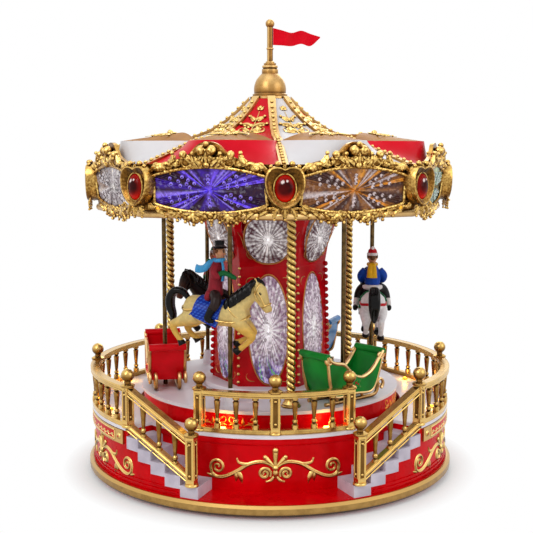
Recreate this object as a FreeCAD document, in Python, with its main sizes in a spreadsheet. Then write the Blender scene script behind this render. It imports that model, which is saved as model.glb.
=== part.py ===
import FreeCAD, Part
import math
import os
import Sketcher
from FreeCAD import Matrix, Vector

# Driving sizes in millimetres and degrees, each written once.
SIZES = [
    ("foot_height", 2.0, "feet under the rim"),
    ("foot_radius", 4.5, "one foot"),
    ("foot_inset", 20.0, "feet inside the rim"),
    ("rim_radius", 120.0, "gold rim, the widest line of the object"),
    ("rim_height", 6.5, "gold rim"),
    ("rim_width", 2.6, "gold rim, measured across"),
    ("ledge_height", 7.0, "red ledge above the rim bottom"),
    ("wall_setback", 4.0, "outer wall of the base inside the rim"),
    ("wall_thickness", 2.5, "all walls of the base"),
    ("base_height", 41.0, "rim bottom to deck top"),
    ("recess_depth", 19.0, "front wall set back from the outer wall"),
    ("recess_half_angle", 48.75, "half of the set-back front"),
    ("deck_thickness", 2.0, "deck plate"),
    ("deck_overhang", 1.6, "deck plate beyond the wall"),
    ("deck_gap", 2.0, "between deck and turning platform"),
    ("plaque_height", 8.5, "gold plaque band"),
    ("plaque_thickness", 1.4, "gold plaque band"),
    ("plaque_end_angle", 50.5, "where the plaque band starts"),
    ("landing_height", 7.0, "lowest step above the ledge"),
    ("landing_angle", 22.4, "inner end of the lowest step"),
    ("stair_angle", 28.0, "foot of the first riser"),
    ("stair_overhang", 1.0, "steps beyond the wall"),
    ("tread_thickness", 2.2, "steps above the red infill"),
    ("rail_setback", 0.4, "outer balustrade inside the outer wall"),
    ("front_rail_setback", 2.0, "front balustrade inside the front wall"),
    ("front_rail_angle", 27.7, "half of the front balustrade"),
    ("rail_width", 5.0, "hand rail"),
    ("rail_height", 25.0, "deck to hand rail top"),
    ("hand_rail_depth", 3.2, "hand rail"),
    ("foot_rail_depth", 3.0, "foot rail"),
    ("foot_rail_width", 3.8, "foot rail"),
    ("post_width", 5.2, "square posts"),
    ("post_rise", 1.2, "post above the hand rail"),
    ("ball_radius", 3.9, "ball on a post"),
    ("ball_neck_height", 1.8, "neck between post and ball"),
    ("newel_angle", 24.6, "post at the foot of a stair"),
    ("newel_height", 31.0, "post at the foot of a stair"),
    ("baluster_radius", 2.0, "belly of a turned baluster"),
    ("lamp_radius", 2.0, "small warm lamp"),
    ("cover_thickness", 2.5, "bottom cover"),
    ("cover_gap", 0.3, "bottom cover to wall"),
    ("screw_radius", 1.5, "cover screw"),
    ("screw_head_height", 1.2, "cover screw"),
    ("screw_length", 11.0, "cover screw"),
    ("boss_radius", 4.6, "screw boss"),
    ("fit_gap", 0.05, "seat between fixed pieces"),
    ("running_gap", 0.06, "running fit of a shaft"),
    ("spindle_radius", 20.0, "fixed spindle post"),
    ("spindle_bore", 12.0, "wire way in the spindle post"),
    ("shoulder_radius", 25.0, "shoulder that carries the hub"),
    ("shoulder_height", 25.0, "shoulder above the bottom cover"),
    ("hub_radius", 27.0, "hub of the platform"),
    ("platform_setback", 12.0, "turning platform inside the front wall"),
    ("platform_rise", 10.7, "platform above the deck"),
    ("platform_thickness", 2.0, "platform plate"),
    ("drum_step", 1.0, "drum set in from the platform edge"),
    ("drum_wall", 2.0, "drum"),
    ("turntable_turn", -21.9, "where the first horse stands"),
    ("item_inset", 15.0, "circle of the rods inside the platform edge"),
    ("rod_radius", 1.4, "brass rods"),
    ("rod_boss_height", 10.0, "white boss round a rod"),
    ("rod_boss_radius", 4.0, "white boss round a rod"),
    ("rod_tail", 13.0, "horse rod below the platform plate"),
    ("rod_top", 14.0, "horse rod above the ceiling ring"),
    ("shoe_radius", 3.6, "shoe at the foot of a horse rod"),
    ("shoe_height", 3.0, "shoe at the foot of a horse rod"),
    ("horse_stroke", 10.0, "rise and fall of a horse"),
    ("cam_width", 8.0, "lift cam"),
    ("cam_gap", 1.0, "lift cam to the lowest shoe"),
    ("pole_inset", 12.0, "circle of the twisted poles inside the platform edge"),
    ("pole_radius", 3.2, "twisted poles"),
    ("pole_foot_radius", 6.0, "bell foot of a twisted pole"),
    ("plinth_radius", 45.0, "round plinth of the column"),
    ("plinth_height", 2.6, "round plinth of the column"),
    ("plinth_gap", 0.4, "plinth above the platform"),
    ("column_turn", -3.4, "front facet of the column"),
    ("column_foot_radius", 38.5, "column corner at the plinth"),
    ("column_waist_radius", 36.5, "column corner at the waist"),
    ("column_head_radius", 49.0, "column corner under the canopy"),
    ("column_wall", 2.0, "column"),
    ("lower_tier_height", 77.0, "plinth to waist"),
    ("upper_tier_height", 36.3, "waist to canopy"),
    ("lower_lens_width", 25.0, "oval lens"),
    ("lower_lens_height", 69.0, "oval lens"),
    ("upper_lens_width", 30.0, "shield lens"),
    ("upper_lens_height", 32.0, "shield lens"),
    ("canopy_turn", 2.1, "front corner of the canopy"),
    ("fascia_foot_radius", 111.5, "canopy corner at the bottom"),
    ("fascia_head_radius", 117.0, "canopy corner at the top"),
    ("fascia_height", 29.0, "canopy fascia"),
    ("fascia_wall", 3.5, "canopy fascia"),
    ("fascia_window_width", 64.0, "clear panel of the fascia"),
    ("fascia_window_height", 22.0, "clear panel of the fascia"),
    ("fascia_lens_thickness", 2.0, "clear panel of the fascia"),
    ("crest_height", 12.5, "crown over each panel"),
    ("crest_width", 66.0, "crown over each panel"),
    ("crest_thickness", 2.4, "crown over each panel"),
    ("bezel_radius", 10.5, "seat of a cabochon"),
    ("bezel_height", 1.6, "seat of a cabochon"),
    ("cabochon_width", 11.0, "red stone"),
    ("cabochon_height", 14.5, "red stone"),
    ("cabochon_rise", 4.0, "red stone"),
    ("carrier_drop", 2.0, "carrier plate below the fascia top"),
    ("carrier_thickness", 2.0, "carrier plate"),
    ("ceiling_lift", 2.0, "ceiling ring above the fascia bottom"),
    ("ceiling_thickness", 2.0, "ceiling ring"),
    ("ceiling_margin", 11.0, "ceiling ring beyond the circle of the rods"),
    ("ceiling_gap", 2.0, "ceiling ring to its neighbours"),
    ("skirt_inset", 5.0, "roof corner inside the canopy corner"),
    ("skirt_height", 15.5, "scalloped skirt of the roof"),
    ("bulge_inset", 16.0, "skirt edge at the middle of a panel, inside the canopy corner"),
    ("tent_foot_radius", 66.0, "tent corner on the skirt"),
    ("tent_height", 27.5, "skirt to bell finial"),
    ("tent_head_radius", 13.6, "tent corner under the bell finial"),
    ("tent_hollow", 2.2, "how hollow the tent curve is"),
    ("roof_thickness", 1.6, "roof panels"),
    ("rib_width", 5.0, "gold rib"),
    ("rib_height", 1.6, "gold rib"),
    ("crescent_height", 5.5, "gold crescent at its back"),
    ("flange_radius", 12.9, "bell finial"),
    ("bell_radius", 10.3, "bell finial"),
    ("bell_height", 23.0, "bell finial"),
    ("flag_pole_radius", 1.9, "flag pole"),
    ("flag_pole_height", 23.0, "flag pole"),
    ("flag_ball_radius", 2.9, "ball on the flag pole"),
    ("flag_length", 30.5, "pennant"),
    ("flag_height", 12.0, "pennant"),
    ("flag_thickness", 1.0, "pennant"),
    ("flag_drop", 0.3, "pennant below the pole ball"),
    ("sleigh_length", 47.0, "sleigh"),
    ("sleigh_width", 24.0, "sleigh"),
    ("sleigh_back", 31.0, "sleigh back above the platform"),
    ("sleigh_floor", 6.0, "sleigh floor above the platform"),
    ("sleigh_wall", 1.8, "sleigh"),
    ("runner_radius", 1.2, "sleigh runner"),
    ("runner_gauge", 15.0, "between the runners of one sleigh"),
    ("horse_level", 50.0, "first horse's rod crossing above the platform"),
    ("white_drop", 4.5, "white horse below the first"),
    ("black_drop", 8.0, "black horse below the first"),
    ("white_twist", -13.0, "white horse turned on its rod"),
    ("gear_module", 1.25, "ring gear and pinion"),
    ("gear_width", 4.0, "ring gear"),
    ("gear_backlash", 0.24, "ring gear and pinion"),
    ("pinion_angle", 120.0, "where the gear motor stands"),
    ("pinion_width", 5.0, "pinion"),
    ("shaft_radius", 2.0, "motor shaft"),
    ("board_height", 8.0, "sound board above the bottom cover"),
    ("board_thickness", 1.6, "sound board"),
    ("wheel_radius", 11.0, "volume wheel"),
    ("wheel_thickness", 3.0, "volume wheel"),
    ("control_reach", 2.4, "controls beyond the wall"),
    ("switch_width", 5.0, "power switch"),
    ("switch_travel", 4.0, "power switch"),
]
RING_TEETH = 56
PINION_TEETH = 16
OUTER_BAYS = 6
BALUSTERS_PER_BAY = 6
STEPS = 4


class Size:
    """A number together with the sheet expression that yields it."""

    def __init__(self, text, number):
        self.text = text
        self.number = number

    def __float__(self):
        return self.number

    def __neg__(self):
        return Size(f"(-{self.text})", -self.number)

    def __add__(self, other):
        other = as_size(other)
        return Size(f"({self.text} + {other.text})", self.number + other.number)

    def __sub__(self, other):
        other = as_size(other)
        return Size(f"({self.text} - {other.text})", self.number - other.number)

    def __mul__(self, other):
        other = as_size(other)
        return Size(f"({self.text} * {other.text})", self.number * other.number)

    def __truediv__(self, other):
        other = as_size(other)
        return Size(f"({self.text} / {other.text})", self.number / other.number)

    def __radd__(self, other):
        return as_size(other) + self

    def __rsub__(self, other):
        return as_size(other) - self

    def __rmul__(self, other):
        return as_size(other) * self


def as_size(value):
    return value if isinstance(value, Size) else Size(repr(float(value)), float(value))


doc = FreeCAD.newDocument("CarouselMusicBox")
sheet = doc.addObject("Spreadsheet::Sheet", "Sizes")
for row, (alias, number, note) in enumerate(SIZES, 1):
    sheet.set(f"A{row}", alias)
    sheet.set(f"B{row}", str(number))
    sheet.set(f"C{row}", note)
    sheet.setAlias(f"B{row}", alias)
doc.recompute()


class Sheet:
    """Reads a size back from the sheet by its alias."""

    def __getattr__(self, alias):
        return Size(f"Sizes.{alias}", float(sheet.get(alias)))


s = Sheet()
nodes = []


# Shared ways of making a piece

def keep(piece, label):
    """Name a finished piece and list it as a node."""
    piece.Label = label
    nodes.append(piece)
    return piece


def bind(piece, **sizes):
    for prop, size in sizes.items():
        piece.setExpression(prop.replace("__", "."), as_size(size).text)
    return piece


def place(piece, x=0.0, y=0.0, z=0.0):
    return bind(piece, Placement__Base__x=x, Placement__Base__y=y, Placement__Base__z=z)


def feature(name, shape):
    piece = doc.addObject("Part::Feature", name)
    piece.Shape = shape
    return piece


def cylinder(name, radius, height, x=0.0, y=0.0, z=0.0):
    piece = doc.addObject("Part::Cylinder", name)
    return place(bind(piece, Radius=radius, Height=height), x, y, z)


def box(name, length, width, height, x, y, z):
    """A box whose placement is its middle in x and y and its bottom in z."""
    piece = doc.addObject("Part::Box", name)
    bind(piece, Length=length, Width=width, Height=height)
    return place(piece, as_size(x) - length / 2, as_size(y) - width / 2, z)


def fuse(name, pieces):
    piece = doc.addObject("Part::MultiFuse", name)
    piece.Shapes = pieces
    return piece


def cut(name, base, tool):
    piece = doc.addObject("Part::Cut", name)
    piece.Base = base
    piece.Tool = tool
    return piece


def compound(name, pieces):
    piece = doc.addObject("Part::Compound", name)
    piece.Links = pieces
    return piece


def turned(name, outline):
    """A PartDesign body turned about Z from an outline of radius and height."""
    body = doc.addObject("PartDesign::Body", name)
    sketch = body.newObject("Sketcher::SketchObject", f"{name}_outline")
    plane = next(f for f in body.Origin.OriginFeatures if f.Role == "XZ_Plane")
    sketch.AttachmentSupport = [(plane, "")]
    sketch.MapMode = "FlatFace"
    count = len(outline)
    for (r1, z1), (r2, z2) in zip(outline, outline[1:] + outline[:1]):
        start = Vector(float(r1), float(z1), 0)
        end = Vector(float(r2), float(z2), 0)
        sketch.addGeometry(Part.LineSegment(start, end), False)
    for i in range(count):
        sketch.addConstraint(Sketcher.Constraint("Coincident", i, 2, (i + 1) % count, 1))
    for i, (radius, height) in enumerate(outline):
        for kind, axis, size in (("DistanceX", -2, radius), ("DistanceY", -1, height)):
            if float(size) == 0.0:
                sketch.addConstraint(Sketcher.Constraint("PointOnObject", i, 1, axis))
                continue
            index = sketch.addConstraint(Sketcher.Constraint(kind, -1, 1, i, 1, float(size)))
            sketch.setExpression(f"Constraints[{index}]", as_size(size).text)
    turn = body.newObject("PartDesign::Revolution", f"{name}_turn")
    turn.Profile = sketch
    turn.ReferenceAxis = (sketch, ["V_Axis"])
    turn.Angle = 360.0
    return body


def polar(radius, angle, height=0.0):
    """A point at an angle counted from the front towards the right."""
    turn = math.radians(angle)
    return Vector(radius * math.sin(turn), -radius * math.cos(turn), height)


def polar_sizes(radius, angle):
    """The same point as two sizes for a bound placement."""
    angle = as_size(angle)
    point = polar(float(radius), float(angle))
    across = Size(f"({radius.text} * sin(({angle.text}) * 1 deg))", point.x)
    along = Size(f"(-{radius.text} * cos(({angle.text}) * 1 deg))", point.y)
    return across, along


def polygon(points):
    return Part.makePolygon(list(points) + [points[0]])


def sector(inner, outer, low, high, start, end):
    """A block of a ring between two angles."""
    corners = [polar(inner, start, low), polar(outer, start, low),
               polar(outer, start, high), polar(inner, start, high)]
    return Part.Face(polygon(corners)).revolve(Vector(), Vector(0, 0, 1), end - start)


def lathe(outline):
    """Turn an outline about Z; an entry of two points is an arc through the first to the second."""
    def point(entry):
        return Vector(entry[0], 0, entry[1])
    edges = []
    here = point(outline[0])
    for entry in outline[1:] + outline[:1]:
        if isinstance(entry[0], tuple):
            middle, end = point(entry[0]), point(entry[1])
            edges.append(Part.Arc(here, middle, end).toShape())
        else:
            end = point(entry)
            edges.append(Part.makeLine(here, end))
        here = end
    face = Part.Face(Part.Wire(edges))
    return face.revolve(Vector(), Vector(0, 0, 1), 360)


def regular(sides, radius, height, turn):
    """A level regular polygon with its first corner at the given angle."""
    return polygon([polar(radius, turn + 360.0 * i / sides, height) for i in range(sides)])


def stack(sides, rings, turn):
    """A solid with flat sides through polygons of given radius and height."""
    wires = [regular(sides, radius, height, turn) for radius, height in rings]
    return Part.makeLoft(wires, True, True)


def turned_copies(shape, angles):
    copies = []
    for angle in angles:
        copy = shape.copy()
        copy.rotate(Vector(), Vector(0, 0, 1), angle)
        copies.append(copy)
    return copies


def fused(shapes):
    return shapes[0].multiFuse(shapes[1:]).removeSplitter()


def pipe(edges, start, along, radius):
    """A round bar along joined edges that leave the start in one direction."""
    circle = Part.Wire(Part.Circle(start, along, radius).toShape())
    return Part.Wire(edges).makePipeShell([circle], True, True)


# Levels above the table
floor_level = s.foot_height
cover_level = floor_level + s.cover_thickness
ledge_level = floor_level + s.ledge_height
deck_level = floor_level + s.base_height
deck_under = deck_level - s.deck_thickness
platform_level = deck_level + s.platform_rise
platform_under = platform_level - s.platform_thickness
plinth_under = platform_level + s.plinth_gap
plinth_level = plinth_under + s.plinth_height
waist_level = plinth_level + s.lower_tier_height
canopy_level = waist_level + s.upper_tier_height
ceiling_level = canopy_level + s.ceiling_lift
fascia_top = canopy_level + s.fascia_height
carrier_under = fascia_top - s.carrier_drop - s.carrier_thickness
carrier_level = fascia_top - s.carrier_drop
skirt_level = carrier_level + s.skirt_height
bell_level = skirt_level + s.tent_height
pole_level = bell_level + s.bell_height
hand_rail_level = deck_level + s.rail_height
hand_rail_under = hand_rail_level - s.hand_rail_depth
foot_rail_level = deck_level + s.foot_rail_depth
shoulder_level = cover_level + s.shoulder_height
wall_radius = s.rim_radius - s.wall_setback
recess_radius = wall_radius - s.recess_depth
rail_radius = wall_radius - s.rail_setback
front_rail_radius = recess_radius - s.front_rail_setback
foot_circle = s.rim_radius - s.foot_inset
platform_radius = recess_radius - s.platform_setback
item_circle = platform_radius - s.item_inset
pole_circle = platform_radius - s.pole_inset
inner_wall_radius = wall_radius - s.wall_thickness
lip_radius = wall_radius + s.deck_overhang
flange_radius = s.rim_radius - s.rim_width

# Feet, gold rim and bottom cover
foot_angles = [30 + 60 * i for i in range(6)]
feet = []
for angle in foot_angles:
    x, y = polar_sizes(foot_circle, angle)
    feet.append(cylinder(f"foot_{angle}", s.foot_radius, s.foot_height, x, y))
keep(compound("foot_group", feet), "feet")

rim_fillet = s.rim_width * 0.6
rim_inner = flange_radius + s.fit_gap
rim_top = floor_level + s.rim_height
keep(turned("rim_body", [
    (rim_inner, floor_level),
    (s.rim_radius - rim_fillet, floor_level),
    (s.rim_radius, floor_level + rim_fillet),
    (s.rim_radius, rim_top - rim_fillet),
    (s.rim_radius - rim_fillet, rim_top),
    (rim_inner, rim_top)]), "rim_ring")

cover_radius = inner_wall_radius - s.cover_gap
screw_circle = inner_wall_radius - s.boss_radius + 0.8
screw_angles = [60, 120, 240, 300]
cell_radius = 5.25
cell_length = 44.5
box_wall = 1.6
box_length = as_size(cell_length + 2 * box_wall + 1.0)
box_width = as_size(4 * cell_radius + 2 * box_wall + 0.6)
box_height = as_size(4 * cell_radius + 2 * box_wall)
box_middle = -(s.hub_radius + 5.0 + box_width / 2)
door_gap = 0.2
speaker_angle = 235
speaker_radius = as_size(17.0)
speaker_circle = s.hub_radius + 4.0 + speaker_radius
speaker_x, speaker_y = polar_sizes(speaker_circle, speaker_angle)
board_level = cover_level + s.board_height
board_length = as_size(44.0)
board_width = as_size(20.0)
board_middle = inner_wall_radius - 3.0 - board_width / 2
wheel_middle_y = wall_radius + s.control_reach - s.wheel_radius

cover_tools = [box("door_opening", box_length, box_width, s.cover_thickness, 0, box_middle, floor_level)]
screws = []
for angle in screw_angles:
    x, y = polar_sizes(screw_circle, angle)
    cover_tools.append(cylinder(f"screw_hole_{angle}", s.screw_radius + s.fit_gap, s.cover_thickness,
                                x, y, floor_level))
    head_level = floor_level - s.screw_head_height
    head = cylinder(f"screw_head_{angle}", s.screw_radius * 1.8, s.screw_head_height, x, y, head_level)
    shank = cylinder(f"screw_shank_{angle}", s.screw_radius, s.screw_length, x, y, floor_level)
    screws.append(fuse(f"screw_{angle}", [head, shank]))
for ring, holes in ((0.0, 1), (6.0, 6), (12.0, 12)):
    for i in range(holes):
        x = speaker_x + ring * math.cos(2 * math.pi * i / holes)
        y = speaker_y + ring * math.sin(2 * math.pi * i / holes)
        cover_tools.append(cylinder(f"sound_hole_{holes}_{i}", 1.2, s.cover_thickness, x, y, floor_level))
cover_plate = cylinder("cover_plate", cover_radius, s.cover_thickness, z=floor_level)
cover_blank = cut("cover_blank", cover_plate, fuse("cover_tools", cover_tools))
standoffs = [cylinder(f"standoff_{side}", 2.5, s.board_height, side * 14.0, board_middle - 5.0,
                      cover_level)
             for side in (-1, 1)]
keep(fuse("cover_with_standoffs", [cover_blank] + standoffs), "bottom_cover")
keep(compound("screw_group", screws), "cover_screws")
keep(box("door_plate", box_length - 2 * door_gap, box_width - 2 * door_gap, s.cover_thickness,
         0, box_middle, floor_level), "battery_door")
battery_outer = box("battery_outer", box_length + 4.0, box_width + 4.0, box_height + 2.0, 0, box_middle,
                    cover_level)
battery_inner = box("battery_inner", box_length, box_width, box_height, 0, box_middle, cover_level)
keep(cut("battery_case", battery_outer, battery_inner), "battery_box")
cells = []
for i, (across, layer) in enumerate(((-1, 0), (1, 0), (0, 1))):
    lift = layer * cell_radius * math.sqrt(3.0) + cell_radius + 0.05
    start = Vector(-cell_length / 2, float(box_middle) + across * (cell_radius + 0.05),
                   float(cover_level) + lift)
    cells.append(Part.makeCylinder(cell_radius, cell_length, start, Vector(1, 0, 0)))
keep(feature("cell_group", Part.makeCompound(cells)), "cells")

# Base shell with the set-back front, stair infill, screw bosses and control slots
front = float(s.recess_half_angle)
step_sweep = (front - float(s.stair_angle)) / STEPS
landing_level = ledge_level + s.landing_height
step_rise = (float(deck_level) - float(landing_level)) / (STEPS + 1)
tall = float(deck_level) * 2
end_wall = math.degrees(float(s.wall_thickness) / float(wall_radius))
shell = Part.makeCylinder(flange_radius, s.ledge_height, Vector(0, 0, floor_level))
shell = shell.fuse(Part.makeCylinder(wall_radius, deck_under - floor_level, Vector(0, 0, floor_level)))
shell = shell.cut(sector(recess_radius, s.rim_radius, ledge_level, tall, -front, front))
hollow = Part.makeCylinder(recess_radius - s.wall_thickness, tall, Vector(0, 0, cover_level))
hollow = hollow.fuse(sector(s.spindle_radius, inner_wall_radius, cover_level, tall,
                            front + end_wall, 360 - front - end_wall))
hollow = hollow.fuse(Part.makeCylinder(inner_wall_radius, s.cover_thickness, Vector(0, 0, floor_level)))
shell = shell.cut(hollow)
boss_height = float(s.screw_length) + 3.0
bosses = []
for angle in screw_angles:
    foot = polar(screw_circle, angle, cover_level)
    boss = Part.makeCylinder(s.boss_radius, boss_height, foot)
    bosses.append(boss.cut(Part.makeCylinder(s.screw_radius + s.fit_gap, s.screw_length, foot)))
stairs = []
tread_edge = wall_radius + s.stair_overhang


def step_block(side, outer, low, high, start, end):
    near, far = sorted((side * start, side * end))
    return sector(recess_radius, outer, low, high, near, far)


for side in (-1, 1):
    treads = [step_block(side, tread_edge, ledge_level, landing_level, float(s.landing_angle),
                         float(s.stair_angle))]
    for i in range(STEPS):
        start = float(s.stair_angle) + i * step_sweep
        top = float(landing_level) + (i + 1) * step_rise
        bottom = top - step_rise - float(s.tread_thickness)
        treads.append(step_block(side, tread_edge, bottom, top, start, start + step_sweep))
        bosses.append(step_block(side, wall_radius, ledge_level, bottom, start, start + step_sweep))
    stairs.append(fused(treads))
shell = fused([shell] + bosses)
wheel_level = float(board_level) + float(s.board_thickness) + 0.8
slot_depth = float(s.wall_thickness) * 4
wheel_x = -11.0
switch_x = 13.0
slots = []
for middle, width, high in ((wheel_x, float(s.wheel_radius) * 2.1, float(s.wheel_thickness) + 1.0),
                            (switch_x, float(s.switch_width + s.switch_travel) + 0.6, 4.0)):
    corner = Vector(middle - width / 2, float(wall_radius) - slot_depth, wheel_level - 0.5)
    slots.append(Part.makeBox(width, slot_depth * 2, high, corner))
shell = shell.cut(slots)
keep(feature("shell", shell), "base_shell")
keep(feature("stairs", Part.makeCompound(stairs)), "stair_flights")
plaque_foot = float(deck_under) - float(s.plaque_height) - 0.6
plaque = sector(wall_radius + s.fit_gap, wall_radius + s.plaque_thickness, plaque_foot,
                plaque_foot + float(s.plaque_height), float(s.plaque_end_angle),
                360 - float(s.plaque_end_angle))
keep(feature("plaque", plaque), "plaque_band")

# Deck plate with its lamps
deck_hole = platform_radius + s.deck_gap
deck_front = recess_radius + s.deck_overhang
deck = sector(deck_hole, deck_front, deck_under, deck_level, -front - 1, front + 1)
deck = fused([deck, sector(deck_hole, lip_radius, deck_under, deck_level, front, 360 - front)])
keep(feature("deck_ring", deck), "deck")

bay = (360 - 2 * front) / OUTER_BAYS
lamp_spots = [(front_rail_radius - 5.0, side * 20.0) for side in (-1, 1)]
lamp_spots += [(rail_radius - 7.0, front + bay * (i + 0.5)) for i in range(OUTER_BAYS)]
lamps = []
for radius, angle in lamp_spots:
    dome = Part.makeSphere(s.lamp_radius, polar(radius, angle, deck_level), Vector(0, 0, 1), 0, 90, 360)
    lamps.append(dome)


# Gold balustrade: rails, balusters, posts and balls
def slope_bar(start, end, width, depth):
    """A straight rail between two points with upright ends; the points are its under side."""
    along = end - start
    side = Vector(along.y, -along.x, 0).normalize() * (float(width) / 2)
    up = Vector(0, 0, float(depth))
    face = Part.Face(polygon([start - side, start + side, start + side + up, start - side + up]))
    return face.extrude(along)


def post(radius, angle, low, high):
    half = float(s.post_width) / 2
    shape = Part.makeBox(half * 2, half * 2, high - low, Vector(-half, -half, low))
    shape.rotate(Vector(), Vector(0, 0, 1), angle)
    shape.translate(polar(radius, angle))
    return shape


def baluster(radius, angle, low, high):
    """A turned vase between two levels."""
    belly = float(s.baluster_radius)
    span = high - low
    shape = lathe([(0, 0), (belly, 0), (belly, span * 0.13), (belly * 0.55, span * 0.16),
                   (belly * 0.8, span * 0.21),
                   (belly * 0.8, span * 0.26), (belly * 0.5, span * 0.3), (belly * 0.95, span * 0.84),
                   (belly * 0.6, span * 0.88), (belly, span * 0.92), (belly, span), (0, span)])
    shape.translate(polar(radius, angle, low))
    return shape


half_hand = s.rail_width / 2
half_foot = s.foot_rail_width / 2
post_spots = [(rail_radius, front + bay * i) for i in range(OUTER_BAYS + 1)]
post_spots += [(front_rail_radius, i * float(s.front_rail_angle)) for i in (-1, 0, 1)]
post_top = float(hand_rail_level + s.post_rise)
posts = [post(radius, angle, float(deck_level), post_top) for radius, angle in post_spots]
newel_radius = rail_radius
newel_top = float(landing_level + s.newel_height)
newels = [(newel_radius, side * float(s.newel_angle)) for side in (-1, 1)]
posts += [post(radius, angle, float(landing_level), newel_top) for radius, angle in newels]
ball_spots = [polar(radius, angle, post_top) for radius, angle in post_spots]
ball_spots += [polar(radius, angle, newel_top) for radius, angle in newels]

rails = []
balusters = []
stretches = [(rail_radius, front, 360 - front, OUTER_BAYS, BALUSTERS_PER_BAY),
             (front_rail_radius, -float(s.front_rail_angle), float(s.front_rail_angle), 2, 3)]
for radius, start, end, bays, count in stretches:
    rails.append(sector(radius - half_hand, radius + half_hand, hand_rail_under, hand_rail_level, start,
                        end))
    rails.append(sector(radius - half_foot, radius + half_foot, deck_level, foot_rail_level, start, end))
    sweep = (end - start) / bays
    for i in range(bays):
        for k in range(1, count + 1):
            angle = start + sweep * (i + k / (count + 1))
            balusters.append(baluster(radius, angle, float(foot_rail_level), float(hand_rail_under)))
for side in (-1, 1):
    foot = polar(newel_radius, side * float(s.newel_angle), newel_top - 6.0)
    head = polar(rail_radius, side * front, hand_rail_under)
    hand_bar = slope_bar(foot, head, s.rail_width, s.hand_rail_depth)
    low_foot = polar(newel_radius, side * float(s.newel_angle), float(landing_level) + 3.0)
    low_head = polar(rail_radius, side * front, deck_level + s.fit_gap)
    foot_bar = slope_bar(low_foot, low_head, s.foot_rail_width, s.foot_rail_depth)
    rails += [hand_bar, foot_bar]
    for k in range(1, 4):
        share = k / 4
        low = low_foot + (low_head - low_foot) * share
        high = foot + (head - foot) * share
        spot = baluster(0, 0, low.z, high.z + float(s.hand_rail_depth) / 2)
        spot.translate(Vector(low.x, low.y, 0))
        trimmed = spot.cut([hand_bar, foot_bar] + stairs).Solids
        balusters.append(max(trimmed, key=lambda solid: solid.Volume))
post_block = Part.makeCompound(posts)
rails = [piece for rail in rails for piece in rail.cut(posts).Solids]
keep(feature("rails", Part.makeCompound(rails)), "rails")
keep(feature("baluster_group", Part.makeCompound(balusters)), "balusters")
keep(feature("post_group", post_block), "rail_posts")
neck = float(s.ball_neck_height)
ball_r = float(s.ball_radius)
ball_foot = ball_r * 0.5
ball_rise = neck + math.sqrt(ball_r ** 2 - ball_foot ** 2)
ball = lathe([(0, 0), (ball_foot, 0), (ball_foot, neck), ((ball_r, ball_rise), (0, ball_rise + ball_r))])
balls = []
for spot in ball_spots:
    copy = ball.copy()
    copy.translate(spot)
    balls.append(copy)
keep(feature("ball_group", Part.makeCompound(balls)), "ball_finials")

# Spindle post, plinth and hexagonal column
keep(turned("spindle", [
    (s.spindle_bore, cover_level), (s.shoulder_radius + 3.0, cover_level),
    (s.shoulder_radius + 3.0, cover_level + 3.0), (s.shoulder_radius, cover_level + 3.0),
    (s.shoulder_radius, shoulder_level), (s.spindle_radius, shoulder_level),
    (s.spindle_radius, plinth_under), (s.spindle_bore, plinth_under)]), "spindle_post")
keep(turned("plinth", [
    (s.spindle_bore, plinth_under), (s.plinth_radius, plinth_under),
    (s.plinth_radius, plinth_level - 0.8), (s.plinth_radius - 0.8, plinth_level),
    (s.spindle_bore, plinth_level)]), "column_plinth")

hex_turn = float(s.column_turn) + 30
flare = float(s.column_head_radius) - float(s.column_waist_radius)
column_rings = [(float(s.column_foot_radius), float(plinth_level))]
for share in (0.0, 0.35, 0.7, 1.0):
    radius = float(s.column_waist_radius) + flare * share ** 1.7
    column_rings.append((radius, float(waist_level) + float(s.upper_tier_height) * share))
column_rings.append((float(s.column_foot_radius), float(carrier_under)))
column_outer = stack(6, column_rings, hex_turn)
wall = float(s.column_wall) / math.cos(math.radians(30))
column_inner = stack(6, [(radius - wall, height) for radius, height in column_rings], hex_turn)
column_skin = column_outer.cut(column_inner)


def facing(wire, angle):
    """Stand a wire drawn in X and Z up at a facet and drive it through the wall."""
    solid = Part.Face(wire).extrude(Vector(0, -2 * float(s.column_head_radius), 0))
    solid.rotate(Vector(), Vector(0, 0, 1), angle)
    return solid


def ellipse_wire(width, height, middle):
    """An upright ellipse in the XZ plane."""
    top, side = Vector(0, 0, middle + height / 2), Vector(width / 2, 0, middle)
    return Part.Wire(Part.Ellipse(top, side, Vector(0, 0, middle)).toShape())


def shield_wire(width, height, low):
    """A shield with a round foot and a level top, in the XZ plane."""
    half = width / 2
    left = Vector(-half, 0, low + height)
    right = Vector(half, 0, low + height)
    bulge = Vector(-half * 0.86, 0, low + height * 0.36)
    mirror = Vector(half * 0.86, 0, low + height * 0.36)
    foot = Vector(0, 0, low)
    curve = Part.BSplineCurve()
    curve.interpolate([left, bulge, foot, mirror, right])
    return Part.Wire([curve.toShape(), Part.makeLine(right, left)])


lower_middle = float(plinth_level) + float(s.lower_tier_height) / 2 - 2.0
upper_low = float(waist_level) + 1.5
facet_angles = [float(s.column_turn) + 60 * i for i in range(6)]
gap = 2 * float(s.fit_gap)
holes = []
lens_tools = []
for angle in facet_angles:
    for slack, store in ((0.0, holes), (gap, lens_tools)):
        low_wire = ellipse_wire(float(s.lower_lens_width) - slack, float(s.lower_lens_height) - slack,
                                lower_middle)
        high_wire = shield_wire(float(s.upper_lens_width) - slack, float(s.upper_lens_height) - slack,
                                upper_low)
        store += [facing(low_wire, angle), facing(high_wire, angle)]
column_shell = column_skin.cut(holes)
keep(feature("column", column_shell), "column_shell")
lenses = []
for tool in lens_tools:
    lenses += column_skin.common(tool).Solids
keep(feature("column_lens_group", Part.makeCompound(lenses)), "column_lenses")

# Canopy: carrier, floor, fascia, lenses, stones and lamps
corner_turn = float(s.canopy_turn)
corner_angles = [corner_turn + 45 * i for i in range(8)]
panel_angles = [angle + 22.5 for angle in corner_angles]
flat = math.cos(math.radians(22.5))


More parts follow.
